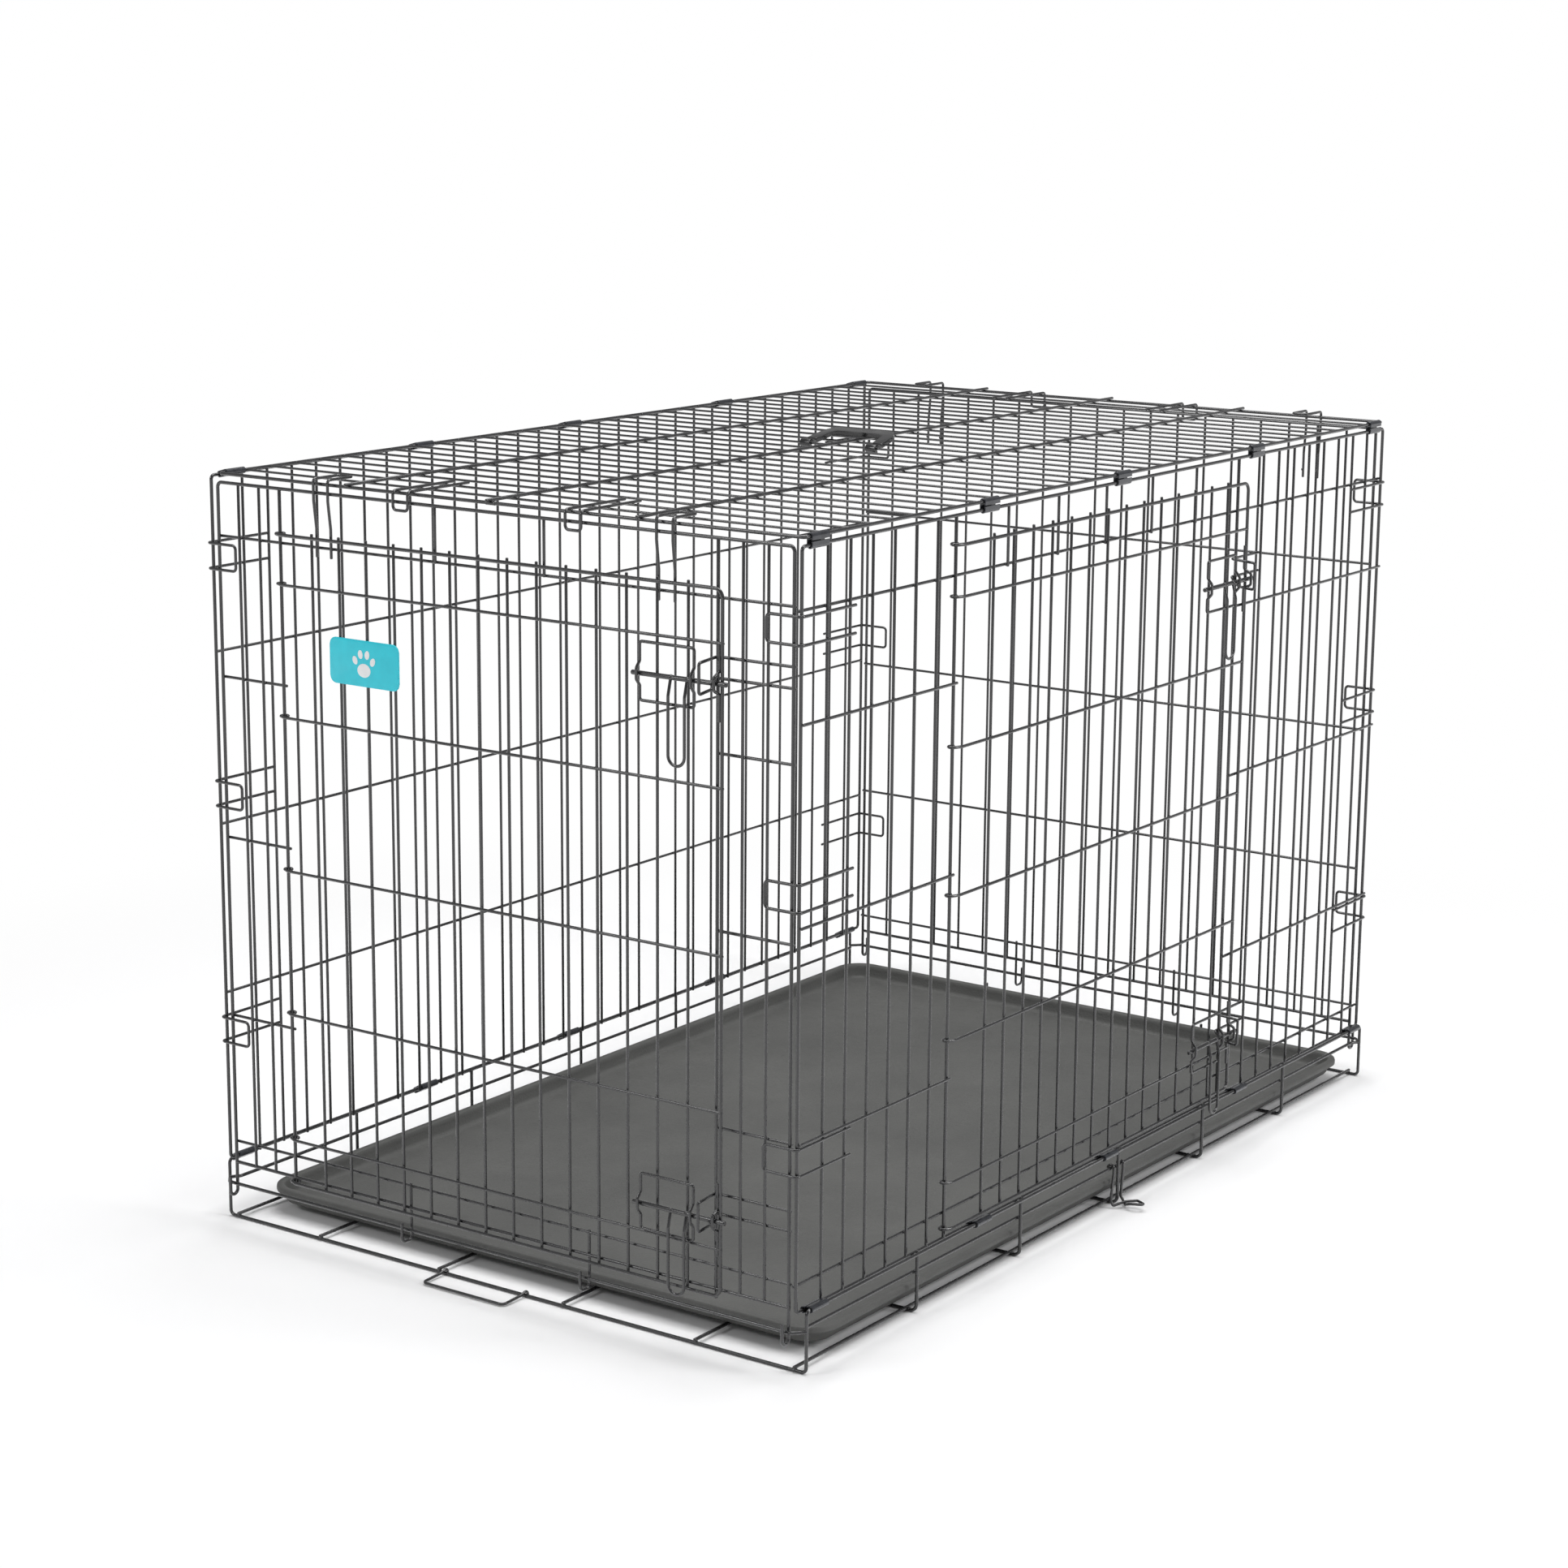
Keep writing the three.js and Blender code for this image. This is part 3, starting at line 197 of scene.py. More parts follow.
def rounded(corners, radius, closed=False):
    """The corners with each inner one turned into an arc of the given radius."""
    count = len(corners)
    inner = range(count) if closed else range(1, count - 1)
    points = [] if closed else [corners[0]]
    for i in inner:
        here = corners[i]
        back = (corners[i - 1] - here).normalized()
        on = (corners[(i + 1) % count] - here).normalized()
        half = back.angle(on) / 2
        if half > math.radians(89.5):
            points.append(here)
            continue
        reach = radius / math.tan(half)
        centre = here + (back + on).normalized() * (radius / math.sin(half))
        start = here + back * reach - centre
        stop = here + on * reach - centre
        turn = start.angle(stop)
        steps = max(3, round(math.degrees(turn) / 12))
        for k in range(steps + 1):
            share = k / steps
            a = math.sin((1 - share) * turn) / math.sin(turn)
            b = math.sin(share * turn) / math.sin(turn)
            points.append(centre + start * a + stop * b)
    if not closed:
        points.append(corners[-1])
    return points


class Mesh:
    """Gathers wires and other closed forms, in millimetres, into one Blender mesh."""

    def __init__(self):
        self.verts = []
        self.faces = []

    def add(self, verts, faces):
        first = len(self.verts)
        self.verts.extend(verts)
        self.faces.extend([[first + i for i in face] for face in faces])

    def rings(self, rings, closed):
        """Skins a run of equal rings, and closes its ends with a point unless the run is a loop."""
        sides = len(rings[0])
        verts = [p for ring in rings for p in ring]
        faces = []
        spans = len(rings) if closed else len(rings) - 1
        for i in range(spans):
            a = i * sides
            b = ((i + 1) % len(rings)) * sides
            for k in range(sides):
                n = (k + 1) % sides
                faces.append([a + k, a + n, b + n, b + k])
        if not closed:
            for base, flip in ((0, True), ((len(rings) - 1) * sides, False)):
                centre = sum((verts[base + k] for k in range(sides)), Vector()) / sides
                verts.append(centre)
                for k in range(sides):
                    n = (k + 1) % sides
                    first, second = (base + n, base + k) if flip else (base + k, base + n)
                    tri = [first, second, len(verts) - 1]
                    faces.append(tri)
        self.add(verts, faces)

    def wire(self, points, radius, closed=False, sides=14):
        """A round wire along points. Open ends are domed."""
        count = len(points)
        tangents = []
        for i in range(count):
            before = points[i - 1] if closed or i else points[i]
            after = points[(i + 1) % count] if closed or i < count - 1 else points[i]
            tangent = (points[i] - before).normalized() + (after - points[i]).normalized()
            tangents.append(tangent.normalized())
        normal = tangents[0].orthogonal().normalized()
        rings = []
        for i, (point, tangent) in enumerate(zip(points, tangents)):
            if i:
                turn = tangents[i - 1].rotation_difference(tangent)
                normal = turn @ normal
            normal = (normal - tangent * normal.dot(tangent)).normalized()
            side = tangent.cross(normal)
            rings.append(self._ring(point, normal, side, radius, sides))
            if not closed and i == 0:
                rings = self._dome(point, -tangent, normal, side, radius, sides)[::-1] + rings
            if not closed and i == count - 1:
                rings += self._dome(point, tangent, normal, side, radius, sides)
        self.rings(rings, closed)

    @staticmethod
    def _ring(point, normal, side, radius, sides):
        step = 2 * math.pi / sides
        return [
            point + normal * (radius * math.cos(k * step)) + side * (radius * math.sin(k * step))
            for k in range(sides)
        ]

    def _dome(self, point, outward, normal, side, radius, sides):
        rings = []
        for lift, width in ((0.35, 0.93), (0.6, 0.7), (0.7, 0.35)):
            centre = point + outward * (lift * radius)
            rings.append(self._ring(centre, normal, side, width * radius, sides))
        return rings

    def bent(self, corners, radius, bend, closed=False):
        self.wire(rounded(corners, bend, closed), radius, closed)

    def rod(self, start, stop, radius):
        self.wire([start, stop], radius)

    def weld(self, place, radius, along=1.0):
        """The coated lump where two wires are welded across each other."""
        scale = Vector((radius * 1.22, radius * 1.22, radius * 1.22)) * along
        rows, columns = 6, 10
        verts = [place + vec(0, 0, scale.z)]
        for i in range(1, rows):
            polar = math.pi * i / rows
            for k in range(columns):
                around = 2 * math.pi * k / columns
                verts.append(
                    place
                    + vec(
                        scale.x * math.sin(polar) * math.cos(around),
                        scale.y * math.sin(polar) * math.sin(around),
                        scale.z * math.cos(polar),
                    )
                )
        verts.append(place - vec(0, 0, scale.z))
        faces = []
        for k in range(columns):
            n = (k + 1) % columns
            faces.append([0, 1 + k, 1 + n])
            last = 1 + (rows - 2) * columns
            faces.append([last + n, last + k, len(verts) - 1])
            for i in range(rows - 2):
                a = 1 + i * columns
                faces.append([a + k, a + columns + k, a + columns + n, a + n])
        self.add(verts, faces)

    def piece(self, name, material, body, slot, node=None):
        mesh = bpy.data.meshes.new(name)
        mesh.from_pydata([v * MM for v in self.verts], [], self.faces)
        mesh.validate()
        mesh.update()
        mesh.shade_smooth()
        mesh.materials.append(material)
        piece = bpy.data.objects.new(name, mesh)
        bpy.context.scene.collection.objects.link(piece)
        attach(piece, body)
        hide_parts(node or name)
        return piece


# ---- Materials --------------------------------------------------------------------------------


class Nodes:
    """A short way to build a node material round one Principled shader."""

    def __init__(self, name):
        self.material = bpy.data.materials.new(name)
        self.material.use_nodes = True
        self.tree = self.material.node_tree
        self.shader = self.tree.nodes["Principled BSDF"]
        self.place = self.tree.nodes.new("ShaderNodeTexCoord").outputs["Object"]

    def set(self, **values):
        for name, value in values.items():
            self.shader.inputs[name.replace("_", " ").title().replace("Ior", "IOR")].default_value = value

    def noise(self, scale, detail=3.0, roughness=0.5):
        node = self.tree.nodes.new("ShaderNodeTexNoise")
        node.inputs["Scale"].default_value = scale
        node.inputs["Detail"].default_value = detail
        node.inputs["Roughness"].default_value = roughness
        self.tree.links.new(self.place, node.inputs["Vector"])
        return node.outputs["Fac"]

    def spread(self, value, low, high):
        """Maps a 0 to 1 value to a range."""
        node = self.tree.nodes.new("ShaderNodeMapRange")
        node.inputs["To Min"].default_value = low
        node.inputs["To Max"].default_value = high
        node.inputs["From Min"].default_value = 0.3
        node.inputs["From Max"].default_value = 0.7
        self.tree.links.new(value, node.inputs["Value"])
        return node.outputs["Result"]

    def blend(self, value, first, second):
        node = self.tree.nodes.new("ShaderNodeMix")
        node.data_type = "RGBA"
        node.inputs["A"].default_value = (*first, 1)
        node.inputs["B"].default_value = (*second, 1)
        self.tree.links.new(value, node.inputs["Factor"])
        return node.outputs["Result"]

    def bump(self, height, strength, distance, onto=None):
        node = self.tree.nodes.new("ShaderNodeBump")
        node.inputs["Strength"].default_value = strength
        node.inputs["Distance"].default_value = distance
        self.tree.links.new(height, node.inputs["Height"])
        if onto:
            self.tree.links.new(onto, node.inputs["Normal"])
        return node.outputs["Normal"]

    def into(self, socket, value):
        self.tree.links.new(value, self.shader.inputs[socket])


def coated_wire():
    """Glossy black coating, with the faint orange peel and dull patches of baked paint."""
    m = Nodes("black_wire_coating")
    m.set(metallic=0.0, coat_weight=0.7, coat_roughness=0.09, specular_ior_level=0.6)
    patches = m.noise(38, 4)
    m.into("Base Color", m.blend(m.spread(patches, 0, 1), (0.010, 0.010, 0.011), (0.022, 0.022, 0.024)))
    m.into("Roughness", m.spread(m.noise(120, 3), 0.2, 0.34))
    peel = m.bump(m.noise(900, 2), 0.12, 0.0004)
    m.into("Normal", m.bump(m.noise(160, 2), 0.1, 0.001, peel))
    return m.material


def clip_steel():
    """Coated sheet steel, bluish where it shines."""
    m = Nodes("clip_coating")
    m.set(metallic=0.35, coat_weight=0.6, coat_roughness=0.12)
    m.into("Base Color", m.blend(m.spread(m.noise(90, 4), 0, 1), (0.020, 0.022, 0.027), (0.04, 0.043, 0.052)))
    m.into("Roughness", m.spread(m.noise(260, 3), 0.2, 0.38))
    m.into("Normal", m.bump(m.noise(700, 2), 0.15, 0.0004))
    return m.material


def pan_plastic():
    """Dark grey moulded plastic with a leather-like grain and faint scuffs."""
    m = Nodes("pan_moulding")
    m.set(metallic=0.0, specular_ior_level=0.45)
    clouds = m.noise(5.5, 4, 0.6)
    m.into("Base Color", m.blend(m.spread(clouds, 0, 1), (0.082, 0.083, 0.080), (0.112, 0.113, 0.108)))
    m.into("Roughness", m.spread(m.noise(45, 4), 0.5, 0.68))
    grain = m.tree.nodes.new("ShaderNodeTexVoronoi")
    grain.inputs["Scale"].default_value = 420
    m.tree.links.new(m.place, grain.inputs["Vector"])
    fine = m.bump(grain.outputs["Distance"], 0.35, 0.0006)
    m.into("Normal", m.bump(m.noise(26, 3), 0.08, 0.003, fine))
    return m.material


def grip_plastic():
    m = Nodes("grip_moulding")
    m.set(metallic=0.0, coat_weight=0.5, coat_roughness=0.06)
    mottle = m.spread(m.noise(60, 3), 0, 1)
    m.into("Base Color", m.blend(mottle, (0.008, 0.008, 0.009), (0.014, 0.014, 0.015)))
    m.into("Roughness", m.spread(m.noise(150, 3), 0.14, 0.26))
    m.into("Normal", m.bump(m.noise(420, 2), 0.08, 0.0005))
    return m.material


def plate_plastic(name, first, second):
    m = Nodes(name)
    m.set(metallic=0.0, coat_weight=0.3, coat_roughness=0.15)
    m.into("Base Color", m.blend(m.spread(m.noise(80, 3), 0, 1), first, second))
    m.into("Roughness", m.spread(m.noise(200, 3), 0.3, 0.42))
    m.into("Normal", m.bump(m.noise(600, 2), 0.06, 0.0004))
    return m.material


WIRE = coated_wire()
CLIP = clip_steel()
PAN = pan_plastic()
GRIP = grip_plastic()
PLATE = plate_plastic("plate_cyan", (0.010, 0.56, 0.68), (0.014, 0.62, 0.74))
PLATE_WHITE = plate_plastic("plate_white", (0.80, 0.81, 0.82), (0.86, 0.87, 0.88))

# ---- Base -------------------------------------------------------------------------------------


def base_frame():
    m = Mesh()
    for end in (-1, 1):
        y = end * END_Y
        corners = [
            vec(-RAIL_X, 0, RAIL_Z),
            vec(-RAIL_X, y, RAIL_Z),
            vec(-RAIL_X, y, GROUND_Z),
            vec(RAIL_X, y, GROUND_Z),
            vec(RAIL_X, y, RAIL_Z),
            vec(RAIL_X, 0, RAIL_Z),
        ]
        m.bent(corners, FRAME_R, FLOOR_BEND - 2)
        joggle = [
            vec(-RAIL_X, end * (END_Y + 0.5), MID_Z),
            vec(-RAIL_X + 9.5, end * PIVOT_Y, MID_Z),
            vec(RAIL_X - 9.5, end * PIVOT_Y, MID_Z),
            vec(RAIL_X, end * (END_Y + 0.5), MID_Z),
        ]
        m.bent(joggle, FRAME_R, TIGHT_BEND)
    inside = RAIL_X - 2 * FRAME_R + 0.15
    over_floor = GROUND_Z + 2 * FRAME_R - 0.15
    for side in (-1, 1):
        m.wire([vec(side * RAIL_X, -5, RAIL_Z), vec(side * RAIL_X, 5, RAIL_Z)], SEAM_R)
        low = side * (RAIL_X - FLOOR_BEND - 5)
        m.rod(vec(low, -END_Y - 1.5, over_floor), vec(low, END_Y + 1.5, over_floor), FRAME_R)
        mid = side * (RAIL_X - 4 * FRAME_R + 0.3)
        m.bent(
            [
                vec(side * RAIL_X, -END_Y - 0.5, MID_Z),
                vec(mid, -END_Y + 9, MID_Z),
                vec(mid, END_Y - 9, MID_Z),
                vec(side * RAIL_X, END_Y + 0.5, MID_Z),
            ],
            FRAME_R,
            TIGHT_BEND,
        )
    for x in FLOOR_RAIL_X:
        m.rod(vec(x, -END_Y - 1.5, over_floor), vec(x, END_Y + 1.5, over_floor), FRAME_R)
    places = [y + 6 if abs(y) < 1 else y for y in evenly(-END_Y, END_Y, BASE_BAYS)]
    for y in places:
        hoop = [
            vec(-inside, y, RAIL_Z + 1),
            vec(-inside, y, GROUND_Z),
            vec(inside, y, GROUND_Z),
            vec(inside, y, RAIL_Z + 1),
        ]
        m.bent(hoop, FRAME_R, FLOOR_BEND)
        for side in (-1, 1):
            m.weld(vec(side * (RAIL_X - FRAME_R), y, RAIL_Z), FRAME_R)
            m.weld(vec(side * (inside - FRAME_R), y, MID_Z), FRAME_R)
    floor_rails = [*FLOOR_RAIL_X, RAIL_X - FLOOR_BEND - 5, -RAIL_X + FLOOR_BEND + 5]
    for y in (-END_Y, *places, END_Y):
        for x in floor_rails:
            m.weld(vec(x, y, GROUND_Z + FRAME_R), FRAME_R)
    for x in REAR_STOP_X:
        m.rod(vec(x, END_Y, GROUND_Z), vec(x, END_Y, 25.5), FRAME_R)
    return m.piece("base_frame_wires", WIRE, "crate", "black_wire", "base_frame")


# ---- Pan --------------------------------------------------------------------------------------


def rounded_outline(low, high, radius, inset, steps=10):
    """Points of a rectangle with round corners, inset from the given box, counter-clockwise."""
    left, right = low.x + inset, high.x - inset
    front, back = low.y + inset, high.y - inset
    r = max(radius - inset, 4)
    centres = [(right - r, back - r), (left + r, back - r), (left + r, front + r), (right - r, front + r)]
    points = []
    for quarter, (x, y) in enumerate(centres):
        for i in range(steps + 1):
            angle = math.pi / 2 * (quarter + i / steps)
            points.append((x + r * math.cos(angle), y + r * math.sin(angle)))
    return points


PAN_CORNER = 34
# Inset from the outside and height above the pan's underside, from the rim's hidden edge over to the floor.
PAN_PROFILE = (
    (1.4, 12.6),
    (0.3, 12.9),
    (0.0, 13.8),
    (0.0, 16.6),
    (0.5, 18.2),
    (1.8, 19.0),
    (6.0, 19.0),
    (7.6, 18.6),
    (8.6, 17.4),
    (9.4, 14.0),
    (10.6, 6.6),
    (11.8, 4.4),
    (14.0, 3.0),
    (18.0, 2.4),
    (26.0, 2.4),
)
PAN_UNDER = (
    (26.0, 0.0),
    (15.0, 0.0),
    (11.0, 1.4),
    (8.8, 4.0),
    (7.6, 10.0),
    (7.0, 16.2),
    (1.6, 16.4),
    (1.4, 12.6),
)


def pan():
    low, high = box_mm("pan")
    m = Mesh()
    profile = PAN_PROFILE + PAN_UNDER[:-1]
    rings = []
    for inset, height in profile:
        rings.append([vec(x, y, low.z + height) for x, y in rounded_outline(low, high, PAN_CORNER, inset)])
    middle = len(PAN_PROFILE)
    sides = len(rings[0])
    verts = [p for ring in rings for p in ring]
    faces = []
    for i in range(len(rings)):
        j = (i + 1) % len(rings)
        if i == middle - 1:
            continue
        for k in range(sides):
            n = (k + 1) % sides
            faces.append([i * sides + k, i * sides + n, j * sides + n, j * sides + k])
    for ring, flip in ((middle - 1, False), (middle, True)):
        loop = [ring * sides + k for k in range(sides)]
        faces.append(loop[::-1] if flip else loop)
    m.add(verts, faces)
    return m.piece("floor_pan", PAN, "pan", "pan_plastic", "pan")


# ---- Panels -----------------------------------------------------------------------------------


def side_frame(m, x, foot, top):
    front = [vec(x, -SIDE_END_Y, foot), vec(x, -SIDE_END_Y, top)]
    corners = [*front, vec(x, SIDE_END_Y, top), vec(x, SIDE_END_Y, foot)]
    m.bent(corners, FRAME_R, TIGHT_BEND, closed=True)
    m.wire([vec(x, -5, foot), vec(x, 5, foot)], SEAM_R)


def corner_hook(m, side, end, height):
    x = side * (SIDE_X + CROSS)
    front = end * (PANEL_Y + FRAME_R + GRID_R + 1.5)
    tip = side * (PANEL_X - FRAME_R - 24)
    leg = end * (SIDE_END_Y - HOOK_LEG)
    corners = [
        vec(x, leg, height + HOOK_HALF),
        vec(x, front, height + HOOK_HALF),
        vec(tip, front, height + HOOK_HALF),
        vec(tip, front, height - HOOK_HALF),
        vec(x, front, height - HOOK_HALF),
        vec(x, leg, height - HOOK_HALF),
    ]
    m.bent(corners, GRID_R, TIGHT_BEND)
    for z in (height - HOOK_HALF, height + HOOK_HALF):
        m.weld(vec(side * (SIDE_X + FRAME_R), end * SIDE_END_Y, z), GRID_R)


def corner_hooks(m, side):
    for end in (-1, 1):
        for height in HOOK_HEIGHTS:
            corner_hook(m, side, end, height)


def left_side_panel():
    m = Mesh()
    side_frame(m, -SIDE_X, LEFT_FOOT_Z, LEFT_TOP_Z)
    inside = -SIDE_X + CROSS
    outside = inside - GRID_CROSS
    rails = evenly(LEFT_FOOT_Z, LEFT_TOP_Z, 4)
    for y in GRID_Y:
        m.rod(vec(inside, y, LEFT_FOOT_Z - 1), vec(inside, y, LEFT_TOP_Z + 1), GRID_R)
        for z in (LEFT_FOOT_Z, LEFT_TOP_Z):
            m.weld(vec(inside - GRID_R, y, z), GRID_R)
        for z in rails:
            m.weld(vec(inside - GRID_R, y, z), GRID_R)
    for z in rails:
        m.rod(vec(outside, -SIDE_END_Y, z), vec(outside, SIDE_END_Y, z), GRID_R)
    corner_hooks(m, -1)
    return m.piece("left_side_panel_wires", WIRE, "crate", "black_wire", "left_side_panel")


def right_side_panel():
    m = Mesh()
    side_frame(m, SIDE_X, RIGHT_FOOT_Z, RIGHT_TOP_Z)
    uprights = [y for y in GRID_Y if y < SIDE_HINGE_Y - 20 or y > SIDE_LATCH_Y + 40]
    for y in uprights:
        m.rod(vec(SIDE_X, y, RIGHT_FOOT_Z), vec(SIDE_X, y, RIGHT_TOP_Z), GRID_R)
        for z in SIDE_PARTIAL_Z:
            m.weld(vec(SIDE_X + GRID_R, y, z), GRID_R)
        for z in (LOW_RAIL_Z, SIDE_HIGH_Z):
            m.weld(vec(SIDE_X - GRID_R, y, z), GRID_R)
    for y in (SIDE_HINGE_Y, SIDE_LATCH_Y):
        m.rod(vec(SIDE_X, y, RIGHT_FOOT_Z), vec(SIDE_X, y, RIGHT_TOP_Z), FRAME_R)
    for y in evenly(SIDE_HINGE_Y, SIDE_LATCH_Y, 6):
        m.rod(vec(SIDE_X, y, SIDE_HIGH_Z - 1), vec(SIDE_X, y, RIGHT_TOP_Z), GRID_R)
        m.weld(vec(SIDE_X - GRID_R, y, SIDE_HIGH_Z), GRID_R)
    for z in (LOW_RAIL_Z, SIDE_HIGH_Z):
        x = SIDE_X - CROSS
        m.rod(vec(x, -SIDE_END_Y, z), vec(x, SIDE_END_Y, z), GRID_R)
    for z in SIDE_PARTIAL_Z:
        x = SIDE_X + CROSS
        m.rod(vec(x, -SIDE_END_Y, z), vec(x, SIDE_HINGE_Y + 1, z), GRID_R)
        m.rod(vec(x, SIDE_LATCH_Y - 1, z), vec(x, SIDE_END_Y, z), GRID_R)
    next_upright = min(y for y in uprights if y > SIDE_LATCH_Y)
    for pair in (UPPER_CATCH, LOWER_CATCH):
        catch_loop(m, SIDE_DOOR, pair, next_upright - SIDE_LATCH_Y)
    corner_hooks(m, 1)
    return m.piece("right_side_panel_wires", WIRE, "crate", "black_wire", "right_side_panel")


def top_panel():
    m = Mesh()
    corners = [
        vec(TOP_LEFT_X, -TOP_END_Y, TOP_Z),
        vec(TOP_LEFT_X, TOP_END_Y, TOP_Z),
        vec(TOP_RIGHT_X, TOP_END_Y, TOP_Z),
        vec(TOP_RIGHT_X, -TOP_END_Y, TOP_Z),
    ]
    m.bent(corners, FRAME_R, TIGHT_BEND, closed=True)
    m.wire([vec(-5, -TOP_END_Y, TOP_Z), vec(5, -TOP_END_Y, TOP_Z)], SEAM_R)
    rail_z = TOP_Z + FINE_R + FRAME_R - 0.1
    for y in GRID_Y:
        m.rod(vec(TOP_LEFT_X, y, TOP_Z), vec(TOP_RIGHT_X, y, TOP_Z), FINE_R)
        for x in (TOP_LEFT_X + FRAME_R, TOP_RIGHT_X - FRAME_R):
            m.weld(vec(x, y, TOP_Z), FINE_R)
        for x in TOP_RAIL_X:
            m.weld(vec(x, y, TOP_Z + FINE_R), FINE_R)
    for x in TOP_RAIL_X:
        m.rod(vec(x, -TOP_END_Y - 6, rail_z), vec(x, TOP_END_Y + 6, rail_z), FRAME_R)
    for end in (-1, 1):
        for x in DOWN_HOOK_X:
            down_hook(m, x, end)
    return m.piece("top_panel_wires", WIRE, "crate", "black_wire", "top_panel")


def down_hook(m, x, end):
    z = TOP_Z + CROSS
    front = end * (PANEL_Y + FRAME_R + GRID_R + 1.6)
    leg = end * (TOP_END_Y - DOWN_HOOK_LEG)
    loop = END_TOP_Z - 7
    corners = [
        vec(x - DOWN_HOOK_HALF, leg, z),
        vec(x - DOWN_HOOK_HALF, front, z),
        vec(x - DOWN_HOOK_HALF, front, loop),
        vec(x + DOWN_HOOK_HALF, front, loop),
        vec(x + DOWN_HOOK_HALF, front, z),
        vec(x + DOWN_HOOK_HALF, leg, z),
    ]
    m.bent(corners, GRID_R, TIGHT_BEND)
    for hook_x in (x - DOWN_HOOK_HALF, x + DOWN_HOOK_HALF):
        m.weld(vec(hook_x, end * TOP_END_Y, TOP_Z + FRAME_R), GRID_R)


# ---- End panels -------------------------------------------------------------------------------


def end_frame(m, end):
    y = end * PANEL_Y
    hook_y = end * (2 * PIVOT_Y - PANEL_Y)
    hook_z = MID_Z - FOOT_HOOK_DROP
    corners = [
        vec(-PANEL_X, hook_y, MID_Z + 8),
        vec(-PANEL_X, hook_y, hook_z),
        vec(-PANEL_X, y, hook_z),
        vec(-PANEL_X, y, END_TOP_Z),
        vec(PANEL_X, y, END_TOP_Z),
        vec(PANEL_X, y, hook_z),
        vec(PANEL_X, hook_y, hook_z),
        vec(PANEL_X, hook_y, MID_Z + 8),
    ]
    m.bent(corners, FRAME_R, abs(hook_y - y) / 2 - 0.02)
    m.rod(vec(-PANEL_X, y, END_FOOT_Z), vec(PANEL_X, y, END_FOOT_Z), FRAME_R)


def mid_hook(m, x, end):
    back = end * (PANEL_Y - CROSS)
    front = end * (2 * PIVOT_Y - PANEL_Y + CROSS - 2)
    low = MID_Z - FOOT_HOOK_DROP
    corners = [vec(x, back, LOW_RAIL_Z + 2), vec(x, back, low), vec(x, front, low), vec(x, front, MID_Z + 7)]
    m.bent(corners, GRID_R, 5)


def over_hook(m, x, end):
    outer = end * (PANEL_Y + CROSS)
    flush = end * (PANEL_Y - 0.2)
    inner = end * (PANEL_Y - OVER_HOOK_BACK)
    over = TOP_Z + FRAME_R + GRID_R + 2.4
    left, right = x - OVER_HOOK_HALF, x + OVER_HOOK_HALF
    legs = []
    for hook_x in (left, right):
        legs.append(
            [
                vec(hook_x, flush, END_HIGH_Z - 8),
                vec(hook_x, flush, END_HIGH_Z + 19),
                vec(hook_x, outer, END_TOP_Z - 7),
                vec(hook_x, outer, over),
                vec(hook_x, inner, over),
            ]
        )
    m.bent(legs[0] + legs[1][::-1], GRID_R, 3.5)
    for hook_x in (left, right):
        m.weld(vec(hook_x, end * (PANEL_Y - GRID_R), END_HIGH_Z), GRID_R)
        m.weld(vec(hook_x, end * (PANEL_Y + FRAME_R), END_TOP_Z), GRID_R)


def end_hooks(m, end):
    for x in FRONT_OVER_HOOK_X if end < 0 else REAR_OVER_HOOK_X:
        over_hook(m, x, end)
    for x in MID_HOOK_X:
        mid_hook(m, x, end)


def front_panel():
    m = Mesh()
    y = -PANEL_Y
    rail_y = y + CROSS
    end_frame(m, -1)
    for side in (-1, 1):
        post = side * FRONT_POST_X
        m.rod(vec(post, y, END_FOOT_Z - POST_FOOT), vec(post, y, END_TOP_Z), FRAME_R)
        strip = evenly(post, side * PANEL_X, 3)
        for x in strip:
            m.rod(vec(x, y, END_FOOT_Z), vec(x, y, END_TOP_Z), GRID_R)
            for z in (LOW_RAIL_Z, END_HIGH_Z, *FRONT_PARTIAL_Z):
                m.weld(vec(x, y + GRID_R, z), GRID_R)
        for z in FRONT_PARTIAL_Z:
            m.rod(vec(side * PANEL_X, rail_y, z), vec(post - side, rail_y, z), GRID_R)
        m.rod(vec(side * STUB_X, y, END_HIGH_Z), vec(side * STUB_X, y, END_TOP_Z), GRID_R)
    for z in (LOW_RAIL_Z, END_HIGH_Z):
        m.rod(vec(-PANEL_X, rail_y, z), vec(PANEL_X, rail_y, z), GRID_R)
    for pair in (UPPER_CATCH, LOWER_CATCH):
        catch_loop(m, FRONT_DOOR, pair, PANEL_X - FRONT_POST_X)
    end_hooks(m, -1)
    return m.piece("front_panel_wires", WIRE, "front_panel", "black_wire", "front_panel")


def rear_panel():
    m = Mesh()
    rail_y = PANEL_Y - CROSS
    end_frame(m, 1)
    for x in evenly(-PANEL_X, PANEL_X, bays_for(2 * PANEL_X, GRID_PITCH)):
        m.rod(vec(x, PANEL_Y, END_FOOT_Z), vec(x, PANEL_Y, END_TOP_Z), GRID_R)
        for z in REAR_RAIL_Z:
            m.weld(vec(x, PANEL_Y - GRID_R, z), GRID_R)
    for z in REAR_RAIL_Z:
        m.rod(vec(-PANEL_X, rail_y, z), vec(PANEL_X, rail_y, z), GRID_R)
    end_hooks(m, 1)
    return m.piece("rear_panel_wires", WIRE, "rear_panel", "black_wire", "rear_panel")


# ---- Doors and latches ------------------------------------------------------------------------


